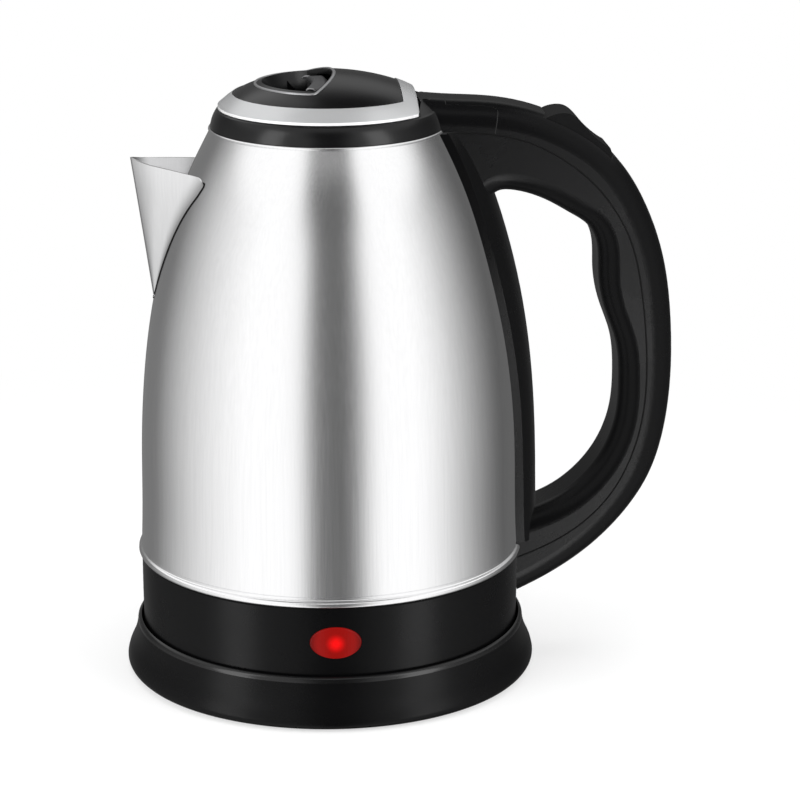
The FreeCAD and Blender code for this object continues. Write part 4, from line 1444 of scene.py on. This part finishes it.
@dataclass
class Studio:
    """Camera, soft lamps, white surroundings and pale floor.

    Places and sizes are in metres, turns in degrees, powers in watts. A strip is a share of the way round
    and its brightness, the rear card has heights in place of shares, and an edge runs between two of them.
    """

    camera_at: Place = (-0.0642, -1.0504, 0.409)
    camera_turn: float = -5.0
    camera_tilt: float = 73.91
    lens: float = 127.1
    sensor: float = 36.0
    aim: Place = (0.0, 0.0, 0.11)
    softboxes: tuple[tuple[str, Place, float], ...] = (
        ("left_softbox", (-0.9, -0.7, 0.7), 0.8), ("right_softbox", (0.9, -0.7, 0.7), 0.8),
        ("top_softbox", (0.0, 0.1, 1.3), 1.0))
    soft_power: float = 9.0
    edge_lamps: tuple[tuple[str, float], ...] = (("left_edge_lamp", -60.0), ("right_edge_lamp", 49.0))
    edge_away: float = 1.3
    edge_height: float = 0.2
    edge_size: Pair = (0.5, 2.0)
    edge_power: float = 9.0
    grip_at: Place = (0.38, -1.21, -0.6)
    grip_size: Pair = (0.28, 1.2)
    grip_power: float = 9.5
    bright: tuple[str, ...] = ("steel_body", "steel_spout", "silver_band")
    grip: tuple[str, ...] = ("handle_inner", "handle_outer", "hinge_cover", "switch_rocker")
    low_strips: tuple[Pair, ...] = (
        (0.0, 0.2), (0.05, 0.18), (0.09, 0.16), (0.14, 0.16), (0.185, 0.33), (0.25, 0.62), (0.31, 0.84),
        (0.36, 1.0), (0.437, 1.0), (0.456, 0.88), (0.472, 0.36), (0.488, 0.14), (0.532, 0.1), (0.552, 0.28),
        (0.57, 0.72), (0.589, 1.0), (0.66, 1.0), (0.674, 0.93), (0.7, 0.8), (0.724, 0.65), (0.757, 0.45),
        (0.794, 0.27), (0.832, 0.15), (0.875, 0.08), (0.93, 0.14), (1.0, 0.2))
    high_strips: tuple[Pair, ...] = (
        (0.0, 0.35), (0.12, 0.3), (0.185, 0.4), (0.25, 0.65), (0.31, 0.9), (0.36, 1.0), (0.42, 1.0),
        (0.44, 0.8), (0.455, 0.3), (0.475, 0.1), (0.55, 0.08), (0.57, 0.3), (0.585, 0.75), (0.6, 1.0),
        (0.66, 1.0), (0.7, 0.8), (0.757, 0.45), (0.82, 0.25), (1.0, 0.35))
    strips_change: Pair = (0.3, 0.65)
    white_edge: Pair = (0.38, 0.54)
    white_raised: tuple[Pair, Pair] = ((0.06, 0.28), (0.18, 0.0))
    rear_middle: float = 0.455
    rear_edge: Pair = (0.39, 0.45)
    rear_card: tuple[Pair, ...] = (
        (0.0, 0.11), (0.25, 0.11), (0.45, 0.5), (0.58, 0.6), (0.7, 0.18), (0.84, 0.04), (1.0, 0.04))
    crest_edge: Pair = (0.88, 0.97)
    crest_level: float = 0.15
    plain_level: float = 0.55
    gloss_strength: float = 1.1
    floor_size: float = 6.0
    floor_level: float = 0.92
    floor_fade: tuple[Pair, Pair] = ((0.1, 0.6), (0.45, 1.0))

    def camera(self) -> None:
        """Sets the camera at the photograph's view."""
        data = bpy.data.cameras.new("photo_camera")
        data.lens = self.lens
        data.sensor_width = self.sensor
        camera = bpy.data.objects.new("photo_camera", data)
        camera.location = self.camera_at
        camera.rotation_euler = (radians(self.camera_tilt), 0.0, radians(self.camera_turn))
        bpy.context.scene.collection.objects.link(camera)
        bpy.context.scene.camera = camera

    def lamp(self, name: str, at: Place, size: Pair, power: float) -> Piece:
        """Adds one soft lamp that faces the kettle and makes no highlights.

        Args:
            name: The lamp's name.
            at: Where it hangs.
            size: Width and height of its face.
            power: Watts.

        Returns:
            The lamp.
        """
        data = bpy.data.lights.new(name, "AREA")
        data.shape = "RECTANGLE"
        data.size, data.size_y = size
        data.energy = power
        lamp = bpy.data.objects.new(name, data)
        lamp.location = at
        lamp.rotation_euler = (Vector(self.aim) - Vector(at)).to_track_quat("-Z", "Y").to_euler()
        lamp.visible_glossy = False
        bpy.context.scene.collection.objects.link(lamp)
        return lamp

    @staticmethod
    def linked(name: str, pieces: Sequence[str], state: str) -> bpy.types.Collection:
        """Collection that tells a lamp which pieces it lights or spares.

        Args:
            name: The collection's name.
            pieces: Names of the pieces.
            state: INCLUDE to light only these, EXCLUDE to spare them.

        Returns:
            The collection.
        """
        group = bpy.data.collections.new(name)
        for piece in pieces:
            group.objects.link(frame["nodes"].get(piece) or bpy.data.objects[piece])
        for entry in group.collection_objects:
            entry.light_linking.link_state = state
        return group

    def gloss_lamps(self) -> None:
        """Adds tall lamps for highlights alone: two on the black parts and one on the handle."""
        spared = self.linked("without_edge_light", self.bright + self.grip, "EXCLUDE")
        chosen = self.linked("with_grip_light", self.grip, "INCLUDE")
        lamps = []
        for name, turn in self.edge_lamps:
            x, y = self.edge_away * sin(radians(turn)), -self.edge_away * cos(radians(turn))
            lamps.append((self.lamp(name, (x, y, self.edge_height), self.edge_size, self.edge_power), spared))
        lamps.append((self.lamp("grip_lamp", self.grip_at, self.grip_size, self.grip_power), chosen))
        for lamp, receivers in lamps:
            lamp.light_linking.receiver_collection = receivers
            lamp.visible_glossy = True
            lamp.visible_diffuse = False

    def surroundings(self) -> None:
        """White studio, with the dark cards of a product photograph for the gloss to show."""
        world = bpy.data.worlds.new("studio")
        bpy.context.scene.world = world
        world.use_nodes = True
        world.node_tree.nodes.clear()
        book = NodeBook(world.node_tree)
        parts = book.add("SeparateXYZ", {0: book.add("TexCoord").outputs["Generated"]})
        turn = book.maths("ARCTAN2", parts.outputs[0], book.maths("MULTIPLY", parts.outputs[1], -1.0))
        share = book.maths("ADD", book.maths("MULTIPLY", turn, 0.5 / pi), 0.5 - self.camera_turn / 360.0)
        height = parts.outputs[2]

        def step(value: Socket, edge: Pair) -> Socket:
            """Soft step from 0 to 1 between two values."""
            return book.spread(value, (edge[0], 0.0), (edge[1], 1.0), soft=True)

        def aside(middle: float) -> Socket:
            """How far round from a middle."""
            return book.maths("ABSOLUTE", book.maths("SUBTRACT", share, middle))

        low, high = (book.ramp(share, strips) for strips in (self.low_strips, self.high_strips))
        cards = book.blend(step(height, self.strips_change), low, high)
        raised = book.spread(aside(0.5), *self.white_raised, soft=True)
        over = step(book.maths("SUBTRACT", height, raised), self.white_edge)
        front = book.blend(over, cards, grey(1.0))
        behind = step(aside(self.rear_middle), self.rear_edge)
        roof = book.blend(behind, front, book.ramp(height, self.rear_card))
        sky = book.blend(step(height, self.crest_edge), roof, grey(self.crest_level))
        path = book.add("LightPath")
        seen = book.maths("MAXIMUM", path.outputs["Is Camera Ray"], path.outputs["Is Transmission Ray"])
        levels = ((grey(self.plain_level), 1.0), (sky, self.gloss_strength), (grey(1.0), 1.0))
        plain, gloss, white = (book.add("Background", {0: colour, 1: strength}).outputs[0]
                               for colour, strength in levels)
        inner = book.add("MixShader", {0: path.outputs["Is Glossy Ray"], 1: plain, 2: gloss})
        outer = book.add("MixShader", {0: seen, 1: inner.outputs[0], 2: white})
        book.add("OutputWorld", {0: outer.outputs[0]})

    def floor(self) -> None:
        """Pale floor that keeps the shadow and fades into the white surroundings."""
        Bench.clear()
        bpy.ops.mesh.primitive_plane_add(size=self.floor_size)
        floor = Bench.named("studio_floor")
        material = bpy.data.materials.new("studio_floor")
        material.use_nodes = True
        material.node_tree.nodes.clear()
        book = NodeBook(material.node_tree)
        path = book.add("LightPath")
        reach = book.vectors("LENGTH", book.add("TexCoord").outputs["Object"]).outputs[1]
        far = book.spread(reach, *self.floor_fade, soft=True)
        card = book.add("BsdfDiffuse", {0: grey(self.floor_level)})
        white = book.add("Emission", {0: grey(1.0), 1: 1.0})
        mix = book.add("MixShader", {0: book.maths("MULTIPLY", path.outputs["Is Camera Ray"], far),
                                     1: card.outputs[0], 2: white.outputs[0]})
        book.add("OutputMaterial", {0: mix.outputs[0]})
        floor.data.materials.append(material)
        floor.visible_glossy = False
        floor.visible_shadow = False

    def build(self) -> None:
        """Sets up the whole studio."""
        bpy.context.scene.view_settings.view_transform = "Standard"
        self.camera()
        for name, at, size in self.softboxes:
            self.lamp(name, at, (size, size), self.soft_power)
        self.gloss_lamps()
        self.surroundings()
        self.floor()


def main() -> None:
    """Builds the kettle's looks."""
    logging.basicConfig(level=logging.INFO)
    body = SteelBody()
    for assembly in (PowerBase(), Underside(), body, Spout(body), Lid(), Handle()):
        assembly.build()
        assembly.dress()
    Studio().build()


if __name__ == "__main__":
    main()
